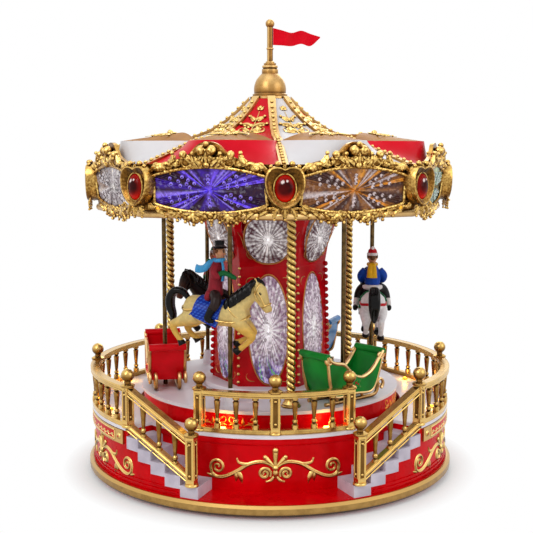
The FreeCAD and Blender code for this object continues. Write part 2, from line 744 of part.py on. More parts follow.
def fascia_radius(height):
    share = (float(height) - float(canopy_level)) / float(s.fascia_height)
    return float(s.fascia_foot_radius) + share * (float(s.fascia_head_radius) - float(s.fascia_foot_radius))


def octagon_plate(radius, low, thickness):
    return stack(8, [(float(radius), float(low)), (float(radius), float(low) + float(thickness))],
                 corner_turn)


fascia_wall = float(s.fascia_wall) / flat
outer_rings = [(fascia_radius(height), float(height)) for height in (canopy_level, fascia_top)]
frame_outer = stack(8, outer_rings, corner_turn)
frame_inner = stack(8, [(radius - fascia_wall, height) for radius, height in outer_rings], corner_turn)
frame_skin = frame_outer.cut(frame_inner)
window_middle = float(canopy_level) + float(s.fascia_height) * 0.55


def panel_block(width, height, low, near, far):
    """A block in front of the first panel, between two distances from the axis."""
    shape = Part.makeBox(width, far - near, height, Vector(-width / 2, -far, low))
    shape.rotate(Vector(), Vector(0, 0, 1), panel_angles[0])
    return shape


near = float(s.fascia_foot_radius) * 0.8
far = float(s.fascia_head_radius) * 1.1
window_low = window_middle - float(s.fascia_window_height) / 2
window = panel_block(float(s.fascia_window_width), float(s.fascia_window_height), window_low, near, far)
glass = panel_block(float(s.fascia_window_width) - gap, float(s.fascia_window_height) - gap,
                    window_low + gap / 2,
                    near, far)
lens_setback = 0.5
lens_band = stack(8, [(r - lens_setback, z) for r, z in outer_rings], corner_turn)
lens_back = float(s.fascia_lens_thickness) / flat + lens_setback
lens_band = lens_band.cut(stack(8, [(r - lens_back, z) for r, z in outer_rings], corner_turn))
one_lens = lens_band.common(glass)
eighths = [45 * i for i in range(8)]
fascia_lenses = [copy.Solids[0] for copy in turned_copies(one_lens, eighths)]

top_apothem = float(s.fascia_head_radius) * flat
half_crest = float(s.crest_width) / 2
crest_foot = float(fascia_top) - 1.5
crest_rise = float(fascia_top) + float(s.crest_height) - crest_foot
crest_shares = [(-1.0, 0.0), (-0.62, 0.28), (-0.36, 0.5), (-0.2, 0.86), (0.0, 1.0), (0.2, 0.86),
                (0.36, 0.5), (0.62, 0.28),
                (1.0, 0.0)]
crest_curve = Part.BSplineCurve()
crest_curve.interpolate([Vector(across * half_crest, -top_apothem, crest_foot + up * crest_rise)
                         for across, up in crest_shares])
crest_line = Part.makeLine(Vector(half_crest, -top_apothem, crest_foot),
                           Vector(-half_crest, -top_apothem, crest_foot))
crest = Part.Face(Part.Wire([crest_curve.toShape(), crest_line])).extrude(Vector(0,
                                                                                 float(s.crest_thickness),
                                                                                 0))
crest.rotate(Vector(), Vector(0, 0, 1), panel_angles[0])
bezel_seat = fascia_radius(window_middle)
stone_clear = fascia_radius(window_middle + float(s.cabochon_height) / 2) + float(s.fit_gap)
bezel_front = max(bezel_seat + float(s.bezel_height), stone_clear)
bezel_root = bezel_seat - fascia_wall * 0.5
bezel = Part.makeCylinder(s.bezel_radius, bezel_front - bezel_root,
                          polar(bezel_root, corner_turn, window_middle), polar(1.0, corner_turn))
frame = frame_skin.cut(turned_copies(window, eighths))
frame = fused([frame] + turned_copies(crest, eighths) + turned_copies(bezel, eighths))
keep(feature("frame", frame), "fascia_frame")
keep(feature("fascia_lens_group", Part.makeCompound(fascia_lenses)), "fascia_lenses")

stone = Part.makeSphere(1.0, Vector(), Vector(0, 0, 1), 0, 90, 360)
shaping = Matrix()
shaping.scale(float(s.cabochon_width) / 2, float(s.cabochon_height) / 2, float(s.cabochon_rise))
stone = stone.transformGeometry(shaping)
stone.rotate(Vector(), Vector(1, 0, 0), 90)
stone.translate(Vector(0, -bezel_front, window_middle))
keep(feature("stone_group", Part.makeCompound(turned_copies(stone, corner_angles))), "cabochons")

jewel_height = float(canopy_level) + 4.0
jewel_seat = fascia_radius(jewel_height + float(s.lamp_radius)) * flat
jewel_side = float(s.fascia_window_width) / 2
for side, angles in ((-jewel_side, panel_angles[1::2]), (jewel_side, panel_angles[0::2])):
    jewel = Part.makeSphere(s.lamp_radius, Vector(), Vector(0, -1, 0), 0, 90, 360)
    jewel.translate(Vector(side, -jewel_seat, jewel_height))
    lamps += turned_copies(jewel, angles)
keep(feature("lamp_group", Part.makeCompound(lamps)), "warm_lamps")

carrier_radius = fascia_radius(carrier_under) - fascia_wall - float(s.fit_gap)
carrier = octagon_plate(carrier_radius, carrier_under, s.carrier_thickness)
keep(feature("carrier", carrier), "canopy_carrier")
ceiling_inner = s.column_head_radius + s.ceiling_gap
ceiling_outer = item_circle + s.ceiling_margin
floor_plate = octagon_plate(fascia_radius(ceiling_level) - fascia_wall - float(s.fit_gap), ceiling_level,
                            s.ceiling_thickness)
floor_hole = Part.makeCylinder(ceiling_outer + s.ceiling_gap, tall, Vector(0, 0, canopy_level))
keep(feature("canopy_floor_ring", floor_plate.cut(floor_hole)), "canopy_floor")
board_inner = item_circle + s.rod_radius + 6.0
keep(turned("lamp_ring", [
    (board_inner, carrier_under - 1.6), (board_inner + 14.0, carrier_under - 1.6),
    (board_inner + 14.0, carrier_under), (board_inner, carrier_under)]), "lamp_board")

# Roof panels, ribs, crescents, bell finial, pole and pennant
skirt_foot = float(s.fascia_head_radius) - float(s.skirt_inset)
skirt_bulge = float(s.fascia_head_radius) - float(s.bulge_inset)


def tent_rings(offset):
    """Corner radius and height up the tent, hollow towards the finial."""
    head, foot = float(s.tent_head_radius), float(s.tent_foot_radius)
    rings = []
    for share in (0.0, 0.27, 0.5, 0.7, 0.86, 1.0):
        height = float(skirt_level) + float(s.tent_height) * share ** float(s.tent_hollow)
        rings.append((foot + (head - foot) * share - offset, height - offset))
    return rings


def panel_point(radius, angle, height):
    """A point counted from the middle of the first panel."""
    return polar(radius, panel_angles[0] + angle, height)


def scallop(corner, bulge, half, height):
    """The bulging edge of a panel between two corners."""
    curve = Part.BSplineCurve()
    between = corner + (bulge - corner) * 0.62
    curve.interpolate([panel_point(corner, -half, height), panel_point(between, -half * 0.62, height),
                       panel_point(bulge, 0.0, height), panel_point(between, half * 0.62, height),
                       panel_point(corner, half, height)])
    return curve.toShape()


def skirt_block(inset):
    """One panel of the skirt from its straight foot to its bulging edge; the inset makes the hollow."""
    half = 22.5 - 1.2 * inset
    back = float(s.tent_foot_radius) - 2.0 * thickness + inset
    corner, bulge = float(s.tent_foot_radius) - inset * 0.2, skirt_bulge - inset
    foot = skirt_foot - inset
    low, high = float(carrier_level), float(skirt_level) - inset

    def outline(height, outer_edge, outer_radius):
        left_in, right_in = panel_point(back, -half, height), panel_point(back, half, height)
        left_out = panel_point(outer_radius, -half, height)
        right_out = panel_point(outer_radius, half, height)
        return Part.Wire([Part.makeLine(right_in, left_in), Part.makeLine(left_in, left_out), outer_edge,
                          Part.makeLine(right_out, right_in)])
    straight = Part.makeLine(panel_point(foot, -half, low), panel_point(foot, half, low))
    return Part.makeLoft([outline(low, straight, foot),
                          outline(high, scallop(corner, bulge, half, high), corner)], True, True)


thickness = float(s.roof_thickness)
tent_outer = stack(8, tent_rings(0.0), corner_turn)
tent_skin = tent_outer.cut(stack(8, tent_rings(thickness), corner_turn))
first_slice = sector(0.0, float(s.rim_radius) * 1.5, float(canopy_level), float(pole_level),
                     corner_turn, corner_turn + 45)
skirt_outer = skirt_block(0.0)
roof_panel = fused([tent_skin.common(first_slice), skirt_outer.cut(skirt_block(thickness))])
panels = turned_copies(roof_panel, eighths)
keep(feature("red_panels", Part.makeCompound(panels[1::2])), "roof_red")
keep(feature("white_panels", Part.makeCompound(panels[0::2])), "roof_white")

half_rib = float(s.rib_width) / 2
ridge = [(skirt_foot, float(carrier_level))] + tent_rings(0.0)
top_line = [Vector(half_rib, -radius, height + float(s.rib_height)) for radius, height in ridge]
low_line = [Vector(half_rib, -radius, height - thickness) for radius, height in reversed(ridge)]
rib = Part.Face(polygon(top_line + low_line)).extrude(Vector(-float(s.rib_width), 0, 0))
rib.rotate(Vector(), Vector(0, 0, 1), corner_turn)
bell_clear = Part.makeCylinder(s.flange_radius + s.fit_gap, tall, Vector(0, 0, float(skirt_level) + 5.0))
under_carrier = Part.makeCylinder(s.rim_radius, tall, Vector(0, 0, float(carrier_level) - tall))
rib = rib.cut([tent_outer, bell_clear, under_carrier, skirt_outer, turned_copies(skirt_outer, [-45])[0]])
rib = max(rib.Solids, key=lambda solid: solid.Volume)
keep(feature("rib_group", Part.makeCompound(turned_copies(rib, eighths))), "roof_ribs")

# A crescent lies on each skirt panel: an arched back falling to the bulging edge
skirt_top = float(skirt_level)
tip = float(s.tent_foot_radius)
tip_angle = 22.5 - math.degrees(math.asin((half_rib + float(s.fit_gap)) / tip))
back_apothem = tip * math.cos(math.radians(tip_angle))
left_tip, right_tip = panel_point(tip, -tip_angle, skirt_top), panel_point(tip, tip_angle, skirt_top)
arch = Part.Arc(left_tip, panel_point(back_apothem, 0.0, skirt_top + float(s.crescent_height)),
                right_tip).toShape()
edge = scallop(tip, skirt_bulge - 0.5, tip_angle, skirt_top)
chord = Part.makeLine(left_tip, right_tip)
faces = [Part.makeRuledSurface(arch, edge), Part.Face(Part.Wire([edge, chord])),
         Part.Face(Part.Wire([arch, chord]))]
crescent = Part.Solid(Part.Shell(faces))
if crescent.Volume < 0:
    crescent.reverse()
crescent = crescent.cut(tent_outer)
keep(feature("crescent_group", Part.makeCompound(turned_copies(crescent, eighths))), "roof_crescents")

bell = float(bell_level)
bell_r = float(s.bell_radius)
flange = float(s.flange_radius)
total = float(s.bell_height)
bell_shape = lathe([
    (0, bell), (flange, bell), (flange, bell + total * 0.06), (bell_r * 1.1, bell + total * 0.09),
    (bell_r * 1.1, bell + total * 0.13), (bell_r, bell + total * 0.16),
    ((bell_r * 0.99, bell + total * 0.37), (bell_r * 0.84, bell + total * 0.55)),
    ((bell_r * 0.72, bell + total * 0.62), (bell_r * 0.52, bell + total * 0.71)),
    (bell_r * 0.51, bell + total * 0.83), (bell_r * 0.43, bell + total * 0.85),
    (bell_r * 0.49, bell + total * 0.88),
    (bell_r * 0.49, bell + total * 0.93), (bell_r * 0.39, bell + total * 0.95),
    (bell_r * 0.39, bell + total),
    (0, bell + total)])
keep(feature("bell", bell_shape), "bell_finial")
pole_r = float(s.flag_pole_radius)
pole_foot = float(pole_level)
pole_head = pole_foot + float(s.flag_pole_height)
top_ball = float(s.flag_ball_radius)
ball_middle = pole_head + math.sqrt(top_ball ** 2 - pole_r ** 2)
collar = pole_foot + float(s.flag_pole_height) * 0.42
flag_pole = lathe([(0, pole_foot), (pole_r * 1.5, pole_foot), (pole_r * 1.5, pole_foot + 1.0),
                   (pole_r, pole_foot + 1.6),
                   (pole_r, collar - 1.0), (pole_r * 1.25, collar - 0.6), (pole_r * 1.25, collar),
                   (pole_r, collar + 0.4),
                   (pole_r, pole_head),
                   ((top_ball, ball_middle), (0, ball_middle + top_ball))])
keep(feature("pole", flag_pole), "flag_pole")

wave_length = float(s.flag_length)
hoist = pole_r + float(s.fit_gap)
half_cloth = float(s.flag_thickness) / 2
wave = [(0.0, 0.0), (0.22, -2.0), (0.5, 1.6), (0.78, -1.2), (1.0, 0.4)]
sides = []
for offset in (-half_cloth, half_cloth):
    curve = Part.BSplineCurve()
    curve.interpolate([Vector(hoist + share * wave_length, bend + offset, 0) for share, bend in wave])
    sides.append(curve)
starts = [curve.value(curve.FirstParameter) for curve in sides]
ends = [curve.value(curve.LastParameter) for curve in sides]
cloth = Part.Face(Part.Wire([sides[0].toShape(), Part.makeLine(ends[0], ends[1]), sides[1].toShape(),
                             Part.makeLine(starts[1], starts[0])]))
flag_top = pole_head - float(s.flag_drop)
flag_height = float(s.flag_height)
cloth.translate(Vector(0, 0, flag_top - flag_height))
pennant_edge = [(0.0, 0.0), (0.3, -0.2), (0.55, -0.12), (0.8, -0.2), (1.0, -0.5), (0.85, -0.98),
                (0.68, -0.95),
                (0.5, -0.84), (0.3, -1.0), (0.0, -0.92)]
pattern = [Vector(hoist + share * wave_length, -flag_height, flag_top + drop * flag_height) for share,
           drop in pennant_edge]
cutter = Part.Face(polygon(pattern)).extrude(Vector(0, 2 * flag_height, 0))
keep(feature("pennant", cloth.extrude(Vector(0, 0, flag_height)).common(cutter)), "flag")

# Turning platform: drum, plate with hub and bosses, ring gear, poles and ceiling ring
item_angles = [float(s.turntable_turn) + 60 * i for i in range(6)]
horse_angles = item_angles[0::2]
sleigh_angles = item_angles[1::2]
pole_angles = [float(s.turntable_turn) + 30 + 120 * i for i in range(3)]
rod_hole = s.rod_radius + s.running_gap
drum_outer = platform_radius - s.drum_step
drum_foot = deck_under - 2.0
keep(turned("drum", [
    (drum_outer - s.drum_wall, drum_foot), (drum_outer, drum_foot), (drum_outer, platform_under),
    (drum_outer - s.drum_wall, platform_under)]), "platform_drum")

hub_bore = s.spindle_radius + s.running_gap
plate_blank = turned("plate_blank", [
    (hub_bore, shoulder_level), (s.hub_radius, shoulder_level), (s.hub_radius, platform_under),
    (platform_radius, platform_under), (platform_radius, platform_level), (hub_bore, platform_level)])
plate_bosses = []
rod_tools = []
for angle in horse_angles:
    spot = s.turntable_turn + (angle - horse_angles[0])
    x, y = polar_sizes(item_circle, spot)
    cone = doc.addObject("Part::Cone", "rod_boss")
    bind(cone, Radius1=s.rod_boss_radius, Radius2=s.rod_radius + 1.0, Height=s.rod_boss_height)
    plate_bosses.append(place(cone, x, y, platform_level))
    rod_tools.append(cylinder("rod_way", rod_hole, s.rod_boss_height + s.platform_thickness * 2,
                              x, y, platform_under - s.platform_thickness))
plate_with_bosses = fuse("plate_with_bosses", [plate_blank] + plate_bosses)
keep(cut("plate", plate_with_bosses, fuse("plate_tools", rod_tools)), "platform_top")

ceiling_blank = turned("ceiling_blank", [
    (ceiling_inner, ceiling_level), (ceiling_outer, ceiling_level),
    (ceiling_outer, ceiling_level + s.ceiling_thickness),
    (ceiling_inner, ceiling_level + s.ceiling_thickness)])
ceiling_tools = []
for angle in horse_angles:
    x, y = polar_sizes(item_circle, s.turntable_turn + (angle - horse_angles[0]))
    ceiling_tools.append(cylinder("ceiling_way", rod_hole, s.ceiling_thickness * 3, x, y,
                                  ceiling_level - s.ceiling_thickness))
keep(cut("ceiling", ceiling_blank, fuse("ceiling_tools", ceiling_tools)), "ceiling_ring")

pole_low, pole_high = float(platform_level), float(ceiling_level)
pole_wide, foot_wide = float(s.pole_radius), float(s.pole_foot_radius)
pole = lathe([(0, pole_low), (foot_wide, pole_low), (foot_wide, pole_low + 1.4),
              ((foot_wide * 0.62, pole_low + 4.0), (pole_wide * 1.25, pole_low + 9.0)),
              (pole_wide, pole_low + 9.6), (pole_wide, pole_high - 3.0),
              (pole_wide * 1.3, pole_high - 2.4), (pole_wide * 1.3, pole_high), (0, pole_high)])
pole.translate(Vector(0, -float(pole_circle), 0))
keep(feature("pole_group", Part.makeCompound(turned_copies(pole, pole_angles))), "twisted_poles")
rods = [Part.makeCylinder(s.rod_radius, ceiling_level - platform_level,
                          polar(item_circle, angle, platform_level))
        for angle in sleigh_angles]
keep(feature("rod_group", Part.makeCompound(rods)), "sleigh_rods")


def gear_outline(teeth, module, backlash):
    """Involute teeth with a tooth centred on the first angle, as points about the origin."""
    pitch = module * teeth / 2
    base = pitch * math.cos(math.radians(20))
    tip, root = pitch + module, pitch - 1.25 * module
    half_tooth = math.pi / (2 * teeth) - backlash / (2 * pitch)
    roll_at_pitch = math.tan(math.radians(20)) - math.radians(20)

    def half_angle(radius):
        pressure = math.acos(min(1.0, base / radius))
        return half_tooth + roll_at_pitch - (math.tan(pressure) - pressure)
    start = max(base, root)
    flank = [(start + (tip - start) * i / 4, half_angle(start + (tip - start) * i / 4)) for i in range(5)]
    if root < base:
        flank.insert(0, (root, half_angle(base)))
    points = []
    for tooth in range(teeth):
        middle = 2 * math.pi * tooth / teeth
        outline = [(r, -a) for r, a in flank] + [(r, a) for r, a in reversed(flank)]
        points += [Vector(r * math.cos(middle + a), r * math.sin(middle + a), 0) for r, a in outline]
    return points


module = float(s.gear_module)
gear_level = float(shoulder_level) + 3.0
ring_face = Part.Face(polygon(gear_outline(RING_TEETH, module, float(s.gear_backlash))))
ring_gear = ring_face.extrude(Vector(0, 0, float(s.gear_width)))
ring_gear.translate(Vector(0, 0, gear_level))
ring_gear.rotate(Vector(), Vector(0, 0, 1), float(s.pinion_angle) - 90)
ring_gear = ring_gear.cut(Part.makeCylinder(s.hub_radius + s.fit_gap, tall, Vector(0, 0, 0)))
keep(feature("gear", ring_gear), "ring_gear")


# Sleighs on runners, drawn along their travel and set at the rods
def curve_through(points):
    curve = Part.BSplineCurve()
    curve.interpolate([Vector(x, 0, z) for x, z in points])
    return curve.toShape()


def sleigh_outline(inset):
    """Side of the sleigh: a dipped rim between a tall back and a curled dash."""
    back = -float(s.sleigh_length) / 2 + inset
    nose = float(s.sleigh_length) / 2 - inset
    tall_back = float(s.sleigh_back)
    low = float(s.sleigh_floor) + inset
    rim = [(back, tall_back), (back * 0.7, tall_back * 0.84), (back * 0.3, tall_back * 0.56),
           (nose * 0.2, tall_back * 0.5), (nose * 0.62, tall_back * 0.62), (nose, tall_back * 0.95)]
    keel = [(nose, tall_back * 0.95), (nose * 0.86, tall_back * 0.55), (nose * 0.6, low), ]
    stern = [(back * 0.72, low), (back * 0.9, tall_back * 0.45), (back, tall_back)]
    flat_floor = Part.makeLine(Vector(nose * 0.6, 0, low), Vector(back * 0.72, 0, low))
    return Part.Wire([curve_through(rim), curve_through(keel), flat_floor, curve_through(stern)])


def sleigh_body():
    wide = float(s.sleigh_width)
    thin = float(s.sleigh_wall)
    outer = Part.Face(sleigh_outline(0.0)).extrude(Vector(0, wide, 0))
    outer.translate(Vector(0, -wide / 2, 0))
    inner = Part.Face(sleigh_outline(thin)).extrude(Vector(0, wide - 2 * thin, 0))
    inner.translate(Vector(0, -wide / 2 + thin, 0))
    lifted = inner.copy()
    lifted.translate(Vector(0, 0, float(s.sleigh_back) * 0.12))
    shape = outer.cut([inner, lifted])
    hole = Part.makeCylinder(s.rod_radius + s.fit_gap, float(s.sleigh_back) * 2)
    return max(shape.cut(hole).Solids, key=lambda solid: solid.Volume)


def runner():
    """A bar on the platform with a curl at the nose and two struts to the floor."""
    back, nose = -float(s.sleigh_length) * 0.46, float(s.sleigh_length) * 0.36
    thick = float(s.runner_radius)
    side = float(s.runner_gauge) / 2
    start, bend = Vector(back, 0, thick), Vector(nose, 0, thick)
    curl = Part.BSplineCurve()
    curl.interpolate([bend, bend + Vector(6.0, 0, 4.5), bend + Vector(5.0, 0, 9.5),
                      bend + Vector(2.0, 0, 8.5)],
                     InitialTangent=Vector(1, 0, 0), FinalTangent=Vector(-0.4, 0, -1))
    bar = pipe([Part.makeLine(start, bend), curl.toShape()], start, Vector(1, 0, 0), thick)
    struts = [Part.makeCylinder(thick * 0.8, float(s.sleigh_floor) - thick, Vector(x, 0, thick))
              for x in (back * 0.55, nose * 0.55)]
    shape = fused([bar] + struts)
    return [shape.translated(Vector(0, offset, 0)) for offset in (-side, side)]


def set_on_platform(shape, angle, lift, twist=0.0):
    """Turn a shape drawn with its nose along X to its rod and lift it."""
    moved = shape.copy()
    moved.rotate(Vector(), Vector(0, 0, 1), angle + twist)
    moved.translate(polar(item_circle, angle, float(platform_level) + lift))
    return moved


sleigh = sleigh_body()
runners = []
for label, angle in zip(("green_sleigh", "blue_sleigh", "red_sleigh"), sleigh_angles):
    keep(feature(f"{label}_body", set_on_platform(sleigh, angle, 0.0)), label)
    runners += [set_on_platform(bar, angle, 0.0) for bar in runner()]
keep(feature("runner_group", Part.makeCompound(runners)), "sleigh_runners")


# Horses and riders, drawn round the rod with the nose along X
def limb(*beads):
    """A swelling and tapering form; each bead is x, y, z and radius of a round section."""
    points = [Vector(x, y, z) for x, y, z, _ in beads]
    wires = []
    for i, bead in enumerate(beads):
        along = points[min(i + 1, len(points) - 1)] - points[max(i - 1, 0)]
        wires.append(Part.Wire(Part.Circle(points[i], along, bead[3]).toShape()))
    return Part.makeLoft(wires, True, False)


def rod_way():
    return Part.makeCylinder(s.rod_radius + s.fit_gap, 200, Vector(0, 0, -100))


def horse_shape():
    pieces = [limb((-30, 0, 7.5, 2.8), (-27.5, 0, 7.4, 6.4), (-20, 0, 7.0, 8.6), (-8, 0, 5.6, 8.0),
                   (3, 0, 5.8, 8.2), (9, 0, 6.2, 6.6), (12, 0, 6.6, 3.4)),
              limb((1, 0, 8, 6.4), (7.5, 0, 13, 5.6), (13, 0, 18, 4.6), (17, 0, 21.5, 3.6)),
              limb((16.4, 0, 24, 2.2), (19, 0, 21.4, 4.1), (21.6, 0, 16, 3.4), (24, 0, 10, 2.6),
                   (25, 0, 7.6, 1.9)),
              limb((-27, 0, 11.5, 1.8), (-33, 0, 17, 2.4), (-38.5, 0, 15, 2.6), (-40, 0, 8.5, 2.6),
                   (-38, 0, 2.5, 2.2), (-39.5, 0, -2, 1.0)),
              limb((5, -4, 2, 4.4), (11, -4.4, -3, 3.2), (16, -4.5, -6, 2.3)),
              limb((15, -4.5, -5, 2.3), (12, -4.5, -10.5, 1.8), (8, -4.5, -14.5, 1.7),
                   (5.6, -4.5, -17, 2.0)),
              limb((5, 4, 2, 4.2), (10, 4.4, -2.5, 3.0), (13.5, 4.5, -5.6, 2.2)),
              limb((12.5, 4.5, -4.8, 2.2), (8, 4.5, -9.5, 1.7), (3.5, 4.5, -12.5, 1.6),
                   (1.2, 4.5, -14.5, 2.0)),
              limb((-21, -4, 4, 5.2), (-29, -4.6, 0, 3.6), (-36, -4.7, -2, 2.3)),
              limb((-35.5, -4.7, -1, 2.3), (-33.5, -4.7, -7.5, 1.8), (-31, -4.7, -11.5, 1.7),
                   (-29.6, -4.7, -14.6, 2.0)),
              limb((-20, 4, 3, 5.0), (-25, 4.6, -1.5, 3.4), (-30.5, 4.7, -4.5, 2.2)),
              limb((-30, 4.7, -3.5, 2.2), (-27, 4.7, -9, 1.7), (-24, 4.7, -11.8, 1.6),
                   (-22.6, 4.7, -14.2, 2.0))]
    for side in (-1, 1):
        pieces.append(limb((18.2, side * 2.0, 22.6, 1.4), (17.2, side * 2.4, 27.4, 0.4)))
    return pieces[0].multiFuse(pieces[1:]).cut(rod_way())


def rider_shape(mount):
    trunk = lathe([(0, 13), (5.0, 14), ((5.2, 18), (4.2, 24)), ((4.5, 29), (4.6, 33)), (2.2, 36.8),
                   (2.0, 38.4),
                   ((3.4, 42), (2.6, 44.6)), (3.9, 45), (3.9, 45.7), (2.8, 45.9), (3.0, 49.5), (0, 49.5)])
    trunk.translate(Vector(-8.5, 0, 0))
    pieces = [trunk,
              limb((-8.5, -3.6, 33.5, 2.0), (-7.2, -6.0, 29.5, 2.1), (-4.0, -5.6, 28.2, 1.8),
                   (-1, -4.2, 28.2, 1.7),
                   (2.0, -3.4, 27.8, 1.4)),
              limb((-9, 3.6, 33.5, 2.0), (-11.5, 6.0, 31, 2.0), (-14, 5.6, 33.5, 1.7),
                   (-15.6, 5.0, 35.6, 1.4))]
    for side in (-1, 1):
        pieces.append(limb((-9.5, side * 3.0, 16, 3.2), (-4.5, side * 7.4, 14, 3.1),
                           (-2.4, side * 9.4, 9.5, 2.6),
                           (-5.5, side * 9.9, 4.5, 2.0), (-7.0, side * 10.0, 1.5, 1.7)))
    whole = pieces[0].multiFuse(pieces[1:])
    whole = whole.cut(mount).cut(rod_way())
    return max(whole.Solids, key=lambda solid: solid.Volume)


horse = max(horse_shape().Solids, key=lambda solid: solid.Volume)
rider = rider_shape(horse)
rod_low = float(platform_under) - float(s.rod_tail)
rod_high = float(ceiling_level) + float(s.rod_top)
shoe = float(s.shoe_height)
drops = [0.0, float(s.white_drop), float(s.black_drop)]
twists = [0.0, float(s.white_twist), 0.0]
for name, angle, drop, twist in zip(("palomino", "white", "black"), horse_angles, drops, twists):
    lift = float(s.horse_level) - drop
    keep(feature(f"{name}_figure", set_on_platform(horse, angle, lift, twist)), f"{name}_horse")
    keep(feature(f"{name}_person", set_on_platform(rider, angle, lift, twist)), f"{name}_rider")
    rod_r = float(s.rod_radius)
    rod = lathe([(0, rod_low), (s.shoe_radius, rod_low), (s.shoe_radius, rod_low + shoe),
                 (rod_r, rod_low + shoe),
                 (rod_r, rod_high), (0, rod_high)])
    rod.translate(polar(item_circle, angle, -drop))
    keep(feature(f"{name}_bar", rod), f"{name}_rod")

# Lift cam: a fixed tube under the shoes with a tilted top
half_stroke = float(s.horse_stroke) / 2
cam_top = rod_low - float(s.horse_stroke) - float(s.cam_gap)
cam_inner = float(item_circle) - float(s.cam_width) / 2
cam_outer = cam_inner + float(s.cam_width)
cam = Part.makeCylinder(cam_outer, cam_top - float(cover_level), Vector(0, 0, cover_level))
cam = cam.cut(Part.makeCylinder(cam_inner, tall, Vector(0, 0, 0)))
tilt = math.degrees(math.asin(half_stroke / cam_outer))
lid = Part.makeBox(cam_outer * 4, cam_outer * 4, cam_outer, Vector(-cam_outer * 2, -cam_outer * 2, 0))
lid.rotate(Vector(), Vector(1, 0, 0), tilt)
lid.translate(Vector(0, 0, cam_top - half_stroke))
keep(feature("cam", cam.cut(lid)), "lift_cam")

# Pinion on the motor shaft, gear motor, speaker and sound board with its controls
pinion_circle = module * (RING_TEETH + PINION_TEETH) / 2
motor_top = gear_level - 2.0
pinion_face = Part.Face(polygon(gear_outline(PINION_TEETH, module, float(s.gear_backlash))))
pinion = pinion_face.extrude(Vector(0, 0, float(s.pinion_width)))
pinion.rotate(Vector(), Vector(0, 0, 1), float(s.pinion_angle) + 90 + 180 / PINION_TEETH)
shaft_foot = motor_top - 8.0
shaft_top = gear_level + float(s.pinion_width) + 1.0
pinion.translate(Vector(0, 0, gear_level - 0.5))
shaft = Part.makeCylinder(s.shaft_radius, shaft_top - shaft_foot, Vector(0, 0, shaft_foot))
pinion = pinion.fuse(shaft)
pinion.translate(polar(pinion_circle, float(s.pinion_angle)))
keep(feature("pinion", pinion), "drive_pinion")
gearbox = Part.makeBox(24, 20, motor_top - float(cover_level), Vector(-12, -10, cover_level))
can = Part.makeCylinder(7.5, 26, Vector(-12 - 20, 0, float(cover_level) + 9.0), Vector(1, 0, 0))
bore = Part.makeCylinder(s.shaft_radius + s.running_gap, tall, Vector(0, 0, shaft_foot))
motor = gearbox.fuse(can).cut(bore)
motor.rotate(Vector(), Vector(0, 0, 1), float(s.pinion_angle))
motor.translate(polar(pinion_circle, float(s.pinion_angle)))
keep(feature("motor", motor), "gear_motor")

basket = lathe([(0, 0), (float(speaker_radius), 0), (float(speaker_radius), 2.0), (9.0, 8.0), (9.0, 13.0),
                (0, 13.0)])
basket.translate(Vector(speaker_x, speaker_y, cover_level))
keep(feature("speaker_basket", basket), "speaker")

board_top = float(board_level) + float(s.board_thickness)
board = box("board_plate", board_length, board_width, s.board_thickness, 0, board_middle, board_level)
pin_radius = as_size(1.5)
pin = cylinder("wheel_pin", pin_radius, s.board_thickness + s.wheel_thickness + 2.0, wheel_x,
               wheel_middle_y,
               board_level)
keep(fuse("board_with_pin", [board, pin]), "sound_board")
wheel = cylinder("wheel_disc", s.wheel_radius, s.wheel_thickness, wheel_x, wheel_middle_y, wheel_level)
wheel_bore = cylinder("wheel_bore", pin_radius + s.running_gap, s.wheel_thickness * 3, wheel_x,
                      wheel_middle_y,
                      wheel_level - 3.0)
keep(cut("wheel", wheel, wheel_bore), "volume_wheel")
switch_depth = s.wall_thickness + s.control_reach + 8.0
keep(box("switch_block", s.switch_width, switch_depth, 3.0, switch_x,
         wall_radius + s.control_reach - switch_depth / 2, wheel_level), "power_switch")

# Check every object, then write one file for each node
doc.recompute()
os.makedirs("parts", exist_ok=True)
for piece in doc.Objects:
    if "Invalid" in piece.State or "Error" in piece.State:
        raise RuntimeError(f"{piece.Label} is not valid")
for piece in nodes:
    if piece.Shape.isNull() or not piece.Shape.isValid():
        raise RuntimeError(f"{piece.Label} has no valid shape")
    piece.Shape.exportStep(f"parts/{piece.Label}.step")
print(len(nodes), "nodes written")
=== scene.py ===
import math
import bmesh
import bpy
from mathutils import Matrix, Vector


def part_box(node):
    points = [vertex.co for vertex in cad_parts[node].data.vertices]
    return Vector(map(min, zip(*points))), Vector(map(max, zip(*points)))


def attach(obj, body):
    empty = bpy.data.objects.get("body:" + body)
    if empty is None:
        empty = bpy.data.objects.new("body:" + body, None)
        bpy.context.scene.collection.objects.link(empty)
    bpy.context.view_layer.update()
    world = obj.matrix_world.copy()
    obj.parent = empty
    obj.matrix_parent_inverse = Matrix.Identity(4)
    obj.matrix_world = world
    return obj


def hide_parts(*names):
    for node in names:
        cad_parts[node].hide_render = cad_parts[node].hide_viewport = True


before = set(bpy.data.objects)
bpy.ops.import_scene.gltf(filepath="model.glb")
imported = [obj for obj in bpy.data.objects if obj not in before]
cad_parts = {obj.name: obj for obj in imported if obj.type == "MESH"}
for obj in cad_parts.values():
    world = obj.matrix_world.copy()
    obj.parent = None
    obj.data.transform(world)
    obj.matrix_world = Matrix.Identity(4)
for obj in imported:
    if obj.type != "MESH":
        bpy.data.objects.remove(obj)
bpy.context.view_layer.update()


# Parts inside the base and under it: rubber feet, black cover and battery door, steel screws and cells,
# the sound board, speaker and gear motor. Stock parts, screwed or clipped to the bottom cover.
MILLIMETRE = 0.001


